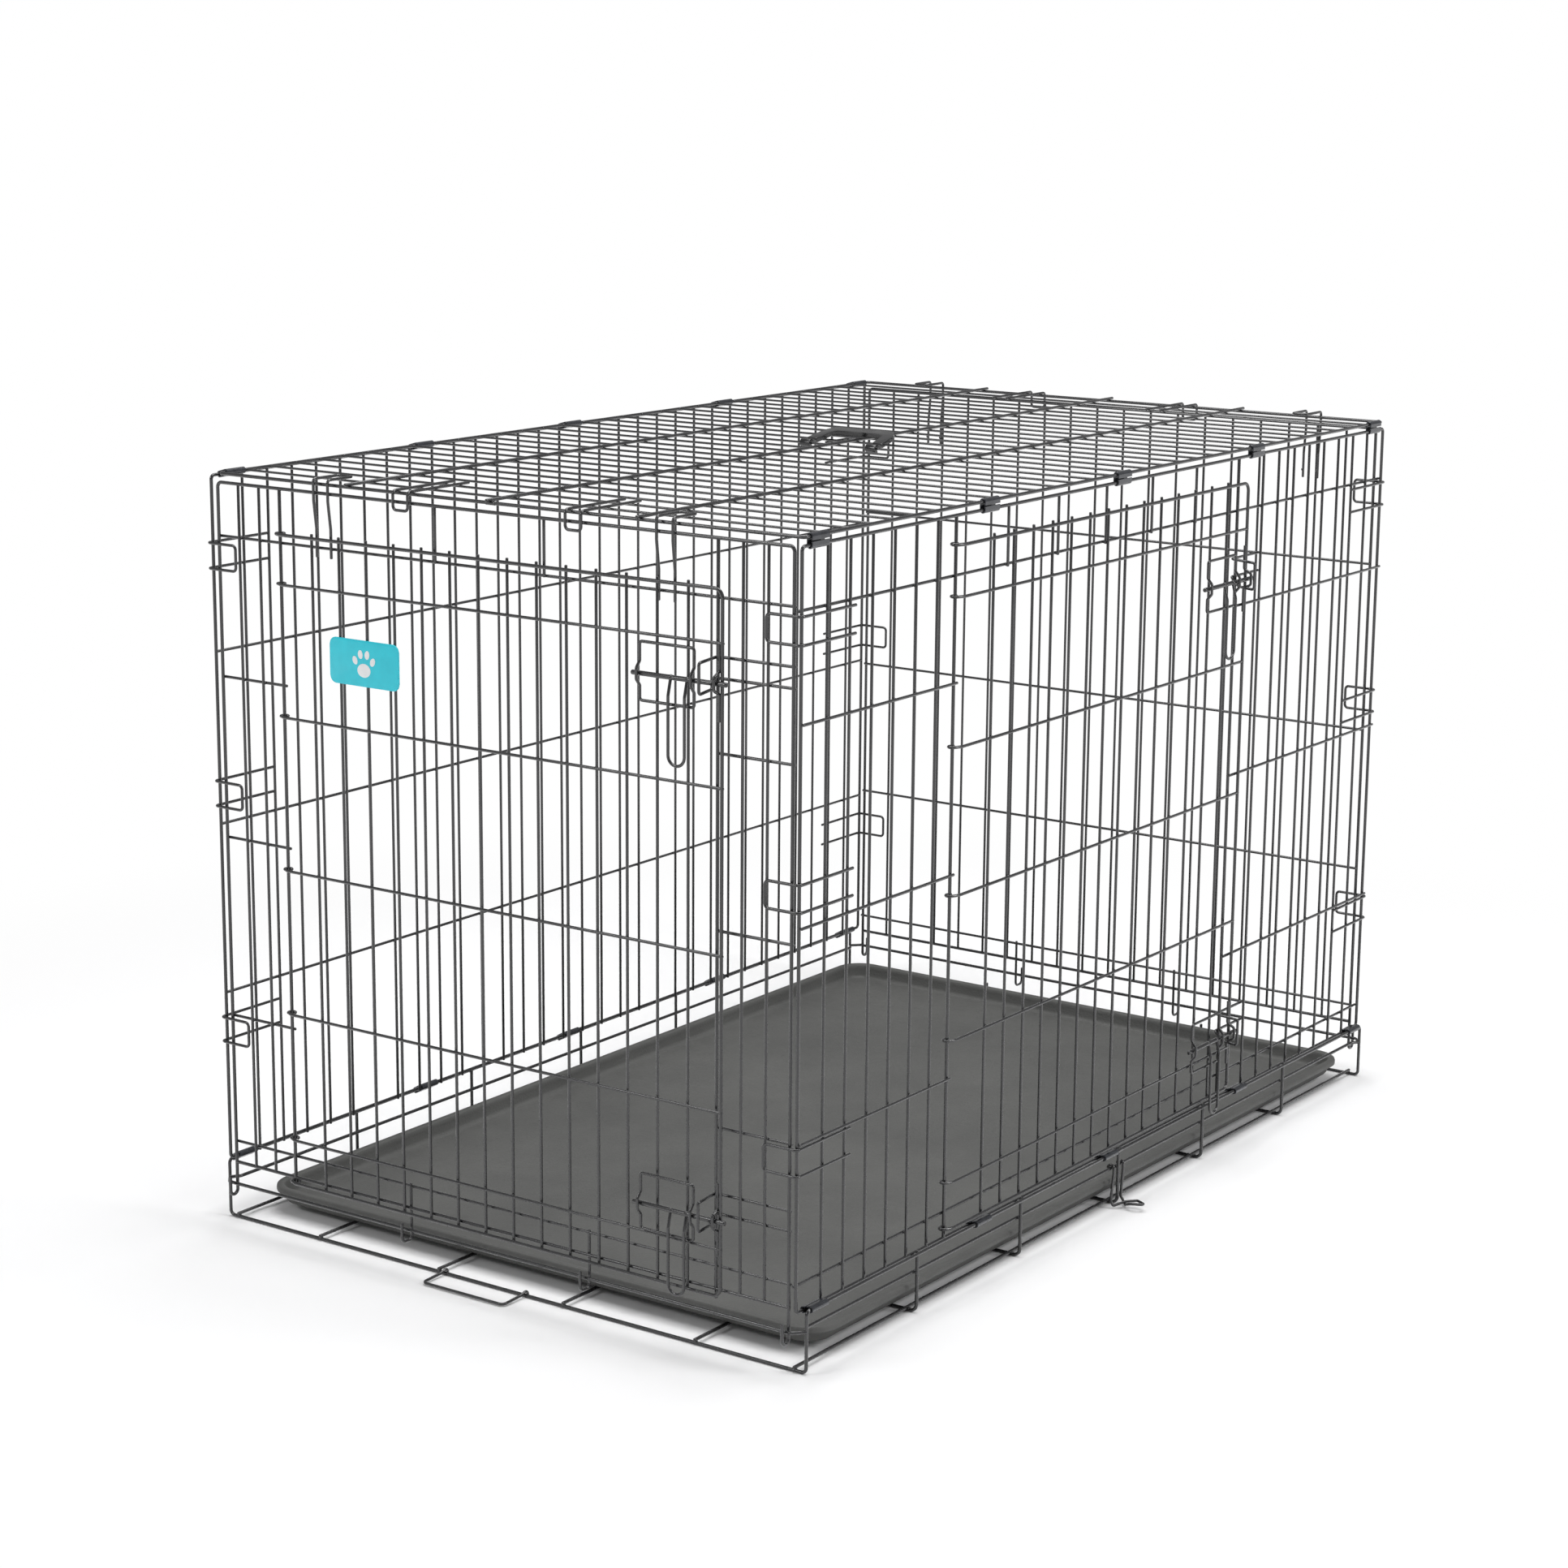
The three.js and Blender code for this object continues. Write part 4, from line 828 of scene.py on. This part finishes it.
class Door:
    """Where a door stands: its hinge post, the ways along it and out of it, and its sizes."""

    def __init__(self, post, along, out, width, lap, pitch, wires, heights):
        self.post = post
        self.along = along
        self.out = out
        self.width = width
        self.lap = lap
        self.pitch = pitch
        self.wires = wires
        self.heights = heights

    def at(self, along, out, z):
        place = self.post + self.along * along + self.out * out
        return vec(place.x, place.y, z)


FRONT_DOOR = Door(
    post=vec(front_hinge.x, front_hinge.y, 0),
    along=vec(1, 0, 0),
    out=vec(0, -1, 0),
    width=2 * FRONT_POST_X + 9.5,
    lap=9.5,
    pitch=34.2,
    wires=14,
    heights=(58, 103, 232, 377, 529, 658, 706),
)
SIDE_DOOR = Door(
    post=vec(side_hinge.x, side_hinge.y, 0),
    along=vec(0, 1, 0),
    out=vec(1, 0, 0),
    width=SIDE_LATCH_Y - SIDE_HINGE_Y + 10,
    lap=10,
    pitch=35,
    wires=14,
    heights=(68, 114, 254, 394, 535, 675, 723),
)
RAIL_OUT = FRAME_R + 1.5 + DOOR_GAP + 3
BOLT_OUT = RAIL_OUT + 1.5 + DOOR_GAP + BOLT_R
BUMP_OUT = BOLT_OUT + BOLT_R + GRID_R + DOOR_GAP


def catch_loop(m, door, pair, length):
    low, high = pair
    post = door.width - door.lap
    beside = post - FRAME_R - GRID_R + 0.15
    corners = [
        door.at(post + length, -CROSS, high),
        door.at(beside, -CROSS, high),
        door.at(beside, CATCH_REACH, high - 2),
        door.at(beside, CATCH_REACH, low - CATCH_SAG),
        door.at(beside, 6, low - CATCH_SAG + 2),
        door.at(beside, -CROSS, low),
        door.at(post + length, -CROSS, low),
    ]
    m.bent(corners, GRID_R, 2.6)


def curled_rail(door, z, radius):
    curl = arc(door.at(0, 0, z), door.along, door.out, FRAME_R + radius + DOOR_GAP, 350, 115, 18)
    return [*curl, door.at(5.7, RAIL_OUT, z)]


def door_piece(node, door, body):
    m = Mesh()
    bottom, top = door.heights[0], door.heights[-1]
    edge = rounded(
        [
            door.at(door.width - 40, RAIL_OUT, top),
            door.at(door.width, RAIL_OUT, top),
            door.at(door.width, RAIL_OUT, bottom),
            door.at(door.width - 40, RAIL_OUT, bottom),
        ],
        DOOR_CORNER,
    )
    m.wire([*curled_rail(door, top, FRAME_R), *edge, *curled_rail(door, bottom, FRAME_R)[::-1]], FRAME_R)
    for z in door.heights[1:-1]:
        m.wire([*curled_rail(door, z, GRID_R), door.at(door.width + 1, RAIL_OUT, z)], GRID_R)
    upright_out = RAIL_OUT - GRID_CROSS
    last = door.width - GUIDE_SETBACK - 11
    for i in range(door.wires):
        along = last - i * door.pitch
        m.rod(door.at(along, upright_out, bottom - 2), door.at(along, upright_out, top + 3), GRID_R)
        for z in door.heights:
            m.weld(door.at(along, RAIL_OUT - GRID_R, z), GRID_R)
    for pair in (UPPER_CATCH, LOWER_CATCH):
        edge_guide(m, door, pair[0] - 2)
    return m.piece(f"{node}_wires", WIRE, body, "black_wire", node)


def edge_guide(m, door, z):
    along = door.width - FRAME_R - GRID_R + 0.15
    corners = [
        door.at(along, RAIL_OUT, z + 34),
        door.at(along, RAIL_OUT, z + BUMP_HALF),
        door.at(along, BUMP_OUT, z + BUMP_HALF - 4),
        door.at(along, BUMP_OUT, z - BUMP_HALF + 4),
        door.at(along, RAIL_OUT, z - BUMP_HALF),
        door.at(along, RAIL_OUT, z - 34),
    ]
    m.bent(corners, GRID_R, 3.4)


def bolt_guide(node, door, pair, body):
    m = Mesh()
    z = pair[0] - 2
    plane = RAIL_OUT + 2 * GRID_R + DOOR_GAP
    far = door.width - GUIDE_SETBACK
    near = far - GUIDE_WIDTH
    high, low = z + GUIDE_HEIGHT / 2 + 2, z - GUIDE_HEIGHT / 2 + 2

    def bulge(along, up):
        return [
            door.at(along, plane, z + up * (BUMP_HALF + 1)),
            door.at(along, BUMP_OUT, z + up * (BUMP_HALF - 5)),
            door.at(along, BUMP_OUT, z - up * (BUMP_HALF - 5)),
            door.at(along, plane, z - up * (BUMP_HALF + 1)),
        ]

    corners = [
        door.at(far, plane, low),
        *bulge(far, -1),
        door.at(far, plane, high),
        door.at(near, plane, high),
        *bulge(near, 1),
        door.at(near, plane, low),
    ]
    m.bent(corners, GRID_R, 2.8, closed=True)
    return m.piece(f"{node}_wire", WIRE, body, "black_wire", node)


def bolt(node, door, pair):
    m = Mesh()
    z = pair[0] - 2
    tip = door.width + 8
    m.rod(door.at(tip - 103, BOLT_OUT, z), door.at(tip - 1, BOLT_OUT, z), BOLT_R)
    far = door.width - GUIDE_SETBACK - 7
    near = far - 18
    clear = BOLT_OUT + 4
    corners = [
        door.at(near, BOLT_OUT, z),
        door.at(near, clear, z - 16),
        door.at(near, clear, z - 78),
        door.at(far, clear, z - 78),
        door.at(far, clear, z - 16),
        door.at(far, BOLT_OUT, z),
    ]
    m.bent(corners, GRID_R, 8.9)
    for along in (near, far):
        m.weld(door.at(along, BOLT_OUT, z), BOLT_R)
    return m.piece(f"{node}_wire", WIRE, node, "black_wire", node)


# ---- Clips, handle, stop and latch -------------------------------------------------------------


def sleeve_outline(half, radius, gap):
    """Points round two wires, from one side of a gap in the lower flat to the other."""
    points = [vec(gap, -radius, 0)]
    for centre, start in ((half, -90), (-half, 90)):
        points += arc(vec(centre, 0, 0), vec(1, 0, 0), vec(0, 1, 0), radius, start, start + 180, 12)
    return [*points, vec(-gap, -radius, 0)]


def clip(node, wire_a, wire_b):
    """A sheet sleeve rolled round two wires that run along Y, with a narrow seam between its edges."""
    low, high = box_mm(node)
    place = (low + high) / 2
    across = Vector((wire_b[0] - wire_a[0], wire_b[1] - wire_a[1]))
    half = across.length / 2
    inner = FRAME_R + DOOR_GAP
    turn = math.atan2(across.y, across.x)
    seam = min(0.6, half / 2)
    m = Mesh()
    rings = []
    ease = 0.4
    for along, shrink in ((-0.5, ease), (-0.5, 0), (0.5, 0), (0.5, ease)):
        y = along * CLIP_LENGTH - math.copysign(ease - shrink, along)
        outer = sleeve_outline(half, inner + CLIP_SHEET - shrink, seam)
        ring = outer + sleeve_outline(half, inner, seam)[::-1]
        rings.append([turned(p, turn, y, place) for p in ring])
    sides = len(rings[0])
    verts = [p for ring in rings for p in ring]
    faces = []
    for i in range(len(rings) - 1):
        for k in range(sides):
            n = (k + 1) % sides
            faces.append([i * sides + n, i * sides + k, (i + 1) * sides + k, (i + 1) * sides + n])
    last = (len(rings) - 1) * sides
    for k in range(sides // 2 - 1):
        faces.append([k, k + 1, sides - 2 - k, sides - 1 - k])
        faces.append([last + k + 1, last + k, last + sides - 1 - k, last + sides - 2 - k])
    m.add(verts, faces)
    piece = m.piece(f"{node}_sheet", CLIP, "crate", "clip_steel", node)
    sharpen(piece, 40)


def turned(point, angle, y, place):
    """A point of a section across Y, turned about Y and set at its place."""
    x = point.x * math.cos(angle) - point.y * math.sin(angle)
    z = point.x * math.sin(angle) + point.y * math.cos(angle)
    return vec(place.x + x, place.y + y, place.z + z)


def sharpen(piece, degrees):
    """Keeps edges sharper than the given angle crisp while the rest is shaded smooth."""
    piece.data.set_sharp_from_angle(angle=math.radians(degrees))


def clips():
    edges = {
        "left_top": ((-SIDE_X, LEFT_TOP_Z), (TOP_LEFT_X, TOP_Z)),
        "right_top": ((SIDE_X, RIGHT_TOP_Z), (TOP_RIGHT_X, TOP_Z)),
        "left_foot": ((-RAIL_X, RAIL_Z), (-SIDE_X, LEFT_FOOT_Z)),
        "right_foot": ((RAIL_X, RAIL_Z), (SIDE_X, RIGHT_FOOT_Z)),
    }
    for edge, (wire_a, wire_b) in edges.items():
        for i in range(CLIPS_PER_EDGE):
            clip(f"{edge}_clip_{i + 1}", wire_a, wire_b)


def prism(name, outline, depth, placing, ease, material, body, slot, node=None):
    """A plate of an outline in millimetres with eased edges, put in place by a function of (x, y, z)."""
    shape = bmesh.new()
    foot = [shape.verts.new((x, y, -depth / 2)) for x, y in outline]
    head = [shape.verts.new((x, y, depth / 2)) for x, y in outline]
    shape.faces.new(foot[::-1])
    shape.faces.new(head)
    for i in range(len(outline)):
        n = (i + 1) % len(outline)
        shape.faces.new((foot[i], foot[n], head[n], head[i]))
    rims = [e for e in shape.edges if e.verts[0].co.z == e.verts[1].co.z]
    bmesh.ops.bevel(shape, geom=rims, offset=ease, segments=4, profile=0.5, affect="EDGES")
    for vertex in shape.verts:
        vertex.co = placing(vertex.co) * MM
    bmesh.ops.recalc_face_normals(shape, faces=shape.faces)
    mesh = bpy.data.meshes.new(name)
    shape.to_mesh(mesh)
    shape.free()
    mesh.shade_smooth()
    mesh.materials.append(material)
    piece = bpy.data.objects.new(name, mesh)
    bpy.context.scene.collection.objects.link(piece)
    sharpen(piece, 50)
    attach(piece, body)
    if node:
        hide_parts(node)
    return piece


def on_handle(x):
    """Where a point of the leaning handle lies: its x along the hinge wire, y up the handle."""
    lean = math.radians(HANDLE_LEAN)

    def placing(p):
        y = p.y * math.cos(lean) - p.z * math.sin(lean)
        z = p.y * math.sin(lean) + p.z * math.cos(lean)
        return handle_hinge + vec(x + p.x, y, z)

    return placing


def flat_rounded(corners, radii):
    """A flat outline whose corners have the given radii."""
    points = []
    count = len(corners)
    for i, radius in enumerate(radii):
        here = vec(*corners[i], 0)
        ends = [vec(*corners[i - 1], 0), here, vec(*corners[(i + 1) % count], 0)]
        if radius:
            points += rounded(ends, radius)[1:-1]
        else:
            points.append(here)
    return [(p.x, p.y) for p in points]


def handle():
    outer = HANDLE_WIDTH / 2 + HANDLE_STRAP / 2
    inner = outer - HANDLE_STRAP
    start = HOOK_TONGUE + DOOR_GAP
    bar = HANDLE_REACH - HANDLE_STRAP
    half = [
        (outer, start, 1.5),
        (outer - 3, HANDLE_REACH - 13, 10),
        (outer - 11, HANDLE_REACH, 9),
        (-outer + 11, HANDLE_REACH, 9),
        (-outer + 3, HANDLE_REACH - 13, 10),
        (-outer, start, 1.5),
        (-inner, start, 1.5),
        (-inner + 3, bar - 4, 4),
        (-inner + 7, bar, 4),
        (inner - 7, bar, 4),
        (inner - 3, bar - 4, 4),
        (inner, start, 1.5),
    ]
    outline = flat_rounded([(x, y) for x, y, _ in half], [min(r, 4) for _, _, r in half])
    belongs = ("handle", "grip_plastic", "handle_grip")
    prism("handle_grip_moulding", outline, 5, on_handle(0), 1.1, GRIP, *belongs)
    for side, x in (("left", -HANDLE_WIDTH / 2), ("right", HANDLE_WIDTH / 2)):
        handle_hook(f"handle_{side}_hook", x)


def handle_hook(node, x):
    eye, rim, lip = FINE_R + DOOR_GAP, 4.4, 2.0
    outline = [(HOOK_TONGUE, -lip), (HOOK_TONGUE, lip)]
    start = math.degrees(math.asin(lip / rim))
    centre, across, up = Vector((0, 0, 0)), vec(1, 0, 0), vec(0, 1, 0)
    outline += [(p.x, p.y) for p in arc(centre, across, up, rim, start, 290, 24)]
    outline += [(p.x, p.y) for p in arc(centre, across, up, eye, 290, -20, 24)]
    outline += [(rim / 2, -lip)]
    place = on_handle(x)
    prism(
        f"{node}_moulding",
        outline,
        HANDLE_STRAP,
        lambda p: place(vec(p.z, p.x, p.y)),
        0.35,
        GRIP,
        "handle",
        "grip_plastic",
        node,
    )


def pan_stop():
    m = Mesh()
    low, high = box_mm("pan_stop")
    radius = FRAME_R + 1.5 + DOOR_GAP
    left, right = low.x + 1.5, high.x - 1.5
    front = low.y + 1.5

    def curl(x):
        return arc(vec(x, -END_Y, GROUND_Z), vec(0, -1, 0), vec(0, 0, 1), radius, 180, 60, 12)

    route = rounded(
        [
            vec(left, -END_Y - 7, GROUND_Z + 1.8),
            vec(left, front, GROUND_Z + 0.6),
            vec(right, front, GROUND_Z + 0.6),
            vec(right, -END_Y - 7, GROUND_Z + 1.8),
        ],
        5,
    )
    m.wire([*curl(left), *route, *curl(right)[::-1]], GRID_R)
    return m.piece("pan_stop_wire", WIRE, "pan_stop", "black_wire", "pan_stop")


def fold_latch():
    m = Mesh()
    hinge = joint_place("fold_latch_turn")
    radius = FRAME_R + 1.5 + DOOR_GAP
    leg_x = hinge.x + radius
    middle = sum(LATCH_FOOT_Y) / 2

    def curl(y):
        return arc(vec(hinge.x, y, hinge.z), vec(1, 0, 0), vec(0, 0, 1), radius, 170, 10, 14)

    def leg(side, rise):
        over = middle + (1 if side == 0 else -1) * LATCH_LOOP_HALF
        near = LATCH_FOOT_Y[side]
        return [
            vec(leg_x, LATCH_HOOK_Y[side], hinge.z - 4),
            vec(leg_x, near, LATCH_FOOT_Z + 5),
            vec(leg_x + 3, near, LATCH_FOOT_Z),
            vec(leg_x + LATCH_REACH * 0.35, middle, LATCH_LOOP_Z - 3 + rise),
            vec(leg_x + LATCH_REACH * 0.68, over, LATCH_LOOP_Z),
            vec(leg_x + LATCH_REACH, middle + (over - middle) / 5, LATCH_LOOP_Z),
        ]

    route = rounded([*leg(0, 1.7), *leg(1, -1.7)[::-1]], 1.6)
    m.wire([*curl(LATCH_HOOK_Y[0]), *route, *curl(LATCH_HOOK_Y[1])[::-1]], GRID_R)
    return m.piece("fold_latch_wire", WIRE, "fold_latch", "black_wire", "fold_latch")


def oval(centre, half_width, half_height, lean=0.0, steps=28):
    """An oval outline, leaning by an angle in degrees."""
    cos, sin = math.cos(math.radians(lean)), math.sin(math.radians(lean))
    points = []
    for i in range(steps):
        angle = 2 * math.pi * i / steps
        x, y = half_width * math.cos(angle), half_height * math.sin(angle)
        points.append((centre[0] + x * cos - y * sin, centre[1] + x * sin + y * cos))
    return points


def name_plate():
    """A cyan plate on the front door with a plain white paw in low relief."""
    low, high = box_mm("name_plate")
    middle = (low + high) / 2
    half = (high - low) / 2
    corners = [(half.x, -half.z), (half.x, half.z), (-half.x, half.z), (-half.x, -half.z)]

    def on_plate(out):
        return lambda p: vec(middle.x + p.x, middle.y - out - p.z, middle.z + p.y)

    outline = flat_rounded(corners, [7] * 4)
    belongs = ("front_door", "plate_plastic", "name_plate")
    prism("name_plate_moulding", outline, 2 * half.y, on_plate(0), 0.5, PLATE, *belongs)
    paw = [oval((0, -6.5), 8.2, 6.6)]
    for x, y, lean in ((-11, 2.5, 24), (-4.2, 8.6, 8), (4.2, 8.6, -8), (11, 2.5, -24)):
        paw.append(oval((x, y), 2.9, 4.2, lean))
    for i, shape in enumerate(paw):
        name = f"name_plate_paw_{i + 1}"
        prism(name, shape, 0.6, on_plate(half.y), 0.2, PLATE_WHITE, "front_door", "plate_plastic")


# ---- Studio -----------------------------------------------------------------------------------


def floor():
    """A pale floor that takes the crate's soft shadow and fades into the white of the studio."""
    size = 60
    mesh = bpy.data.meshes.new("studio_floor")
    corners = [(-size, -size, 0), (size, -size, 0), (size, size, 0), (-size, size, 0)]
    mesh.from_pydata(corners, [], [(0, 1, 2, 3)])
    plane = bpy.data.objects.new("studio_floor", mesh)
    bpy.context.scene.collection.objects.link(plane)
    m = Nodes("studio_floor_paint")
    m.set(base_color=(0.95, 0.95, 0.955, 1), roughness=0.9, specular_ior_level=0.1)
    nodes, links = m.tree.nodes, m.tree.links
    distance = nodes.new("ShaderNodeVectorMath")
    distance.operation = "LENGTH"
    links.new(m.place, distance.inputs[0])
    fade = nodes.new("ShaderNodeMapRange")
    fade.interpolation_type = "SMOOTHSTEP"
    fade.inputs["From Min"].default_value = 0.75
    fade.inputs["From Max"].default_value = 1.6
    links.new(distance.outputs["Value"], fade.inputs["Value"])
    glow = nodes.new("ShaderNodeEmission")
    glow.inputs["Color"].default_value = (1, 1, 1, 1)
    mix = nodes.new("ShaderNodeMixShader")
    links.new(fade.outputs["Result"], mix.inputs["Fac"])
    links.new(m.shader.outputs["BSDF"], mix.inputs[1])
    links.new(glow.outputs["Emission"], mix.inputs[2])
    links.new(mix.outputs["Shader"], nodes["Material Output"].inputs["Surface"])
    mesh.materials.append(m.material)


def area_light(name, place, aim, size, power):
    light = bpy.data.lights.new(name, "AREA")
    light.shape = "RECTANGLE"
    light.size, light.size_y = size
    light.energy = power
    lamp = bpy.data.objects.new(name, light)
    lamp.location = place
    lamp.rotation_euler = (Vector(aim) - Vector(place)).to_track_quat("-Z", "Y").to_euler()
    bpy.context.scene.collection.objects.link(lamp)


def studio():
    """White behind the crate, dim light all round it, and a large soft light overhead."""
    world = bpy.data.worlds.new("studio")
    world.use_nodes = True
    nodes, links = world.node_tree.nodes, world.node_tree.links
    dim = nodes["Background"]
    dim.inputs["Color"].default_value = (1, 1, 1, 1)
    dim.inputs["Strength"].default_value = 0.3
    white = nodes.new("ShaderNodeBackground")
    white.inputs["Strength"].default_value = 1.0
    white.inputs["Color"].default_value = (1, 1, 1, 1)
    path = nodes.new("ShaderNodeLightPath")
    mix = nodes.new("ShaderNodeMixShader")
    links.new(path.outputs["Is Camera Ray"], mix.inputs["Fac"])
    links.new(dim.outputs["Background"], mix.inputs[1])
    links.new(white.outputs["Background"], mix.inputs[2])
    links.new(mix.outputs["Shader"], nodes["World Output"].inputs["Surface"])
    bpy.context.scene.world = world
    bpy.context.scene.view_settings.view_transform = "Standard"
    floor()
    area_light("overhead", (0, 0.2, 3.2), (0, 0, 0), (2.6, 2.6), 85)
    area_light("key", (-1.4, -3.0, 2.4), (0, 0, 0.4), (1.2, 0.8), 26)
    area_light("side", (3.0, 0.6, 2.0), (0, 0, 0.4), (0.8, 1.6), 40)


def camera():
    data = bpy.data.cameras.new("camera")
    data.sensor_width = 36
    data.angle = math.radians(25.88)
    view = bpy.data.objects.new("camera", data)
    place = Vector((1.9922, -2.9196, 1.1786))
    forward = Vector((-0.5627, 0.7979, -0.2160)).normalized()
    right = forward.cross(Vector((0, 0, 1))).normalized()
    up = right.cross(forward)
    roll = Matrix.Rotation(math.radians(-0.43), 3, forward)
    right, up = roll @ right, roll @ up
    rotation = Matrix((right, up, -forward)).transposed().to_4x4()
    view.matrix_world = Matrix.Translation(place) @ rotation
    bpy.context.scene.collection.objects.link(view)
    bpy.context.scene.camera = view


camera()
studio()
base_frame()
pan()
left_side_panel()
right_side_panel()
top_panel()
front_panel()
rear_panel()
door_piece("front_door", FRONT_DOOR, "front_door")
door_piece("side_door", SIDE_DOOR, "side_door")
for side, door in (("front", FRONT_DOOR), ("side", SIDE_DOOR)):
    for level, pair in (("upper", UPPER_CATCH), ("lower", LOWER_CATCH)):
        bolt_guide(f"{side}_{level}_bolt_guide", door, pair, f"{side}_door")
        bolt(f"{side}_{level}_bolt", door, pair)
clips()
handle()
pan_stop()
fold_latch()
name_plate()
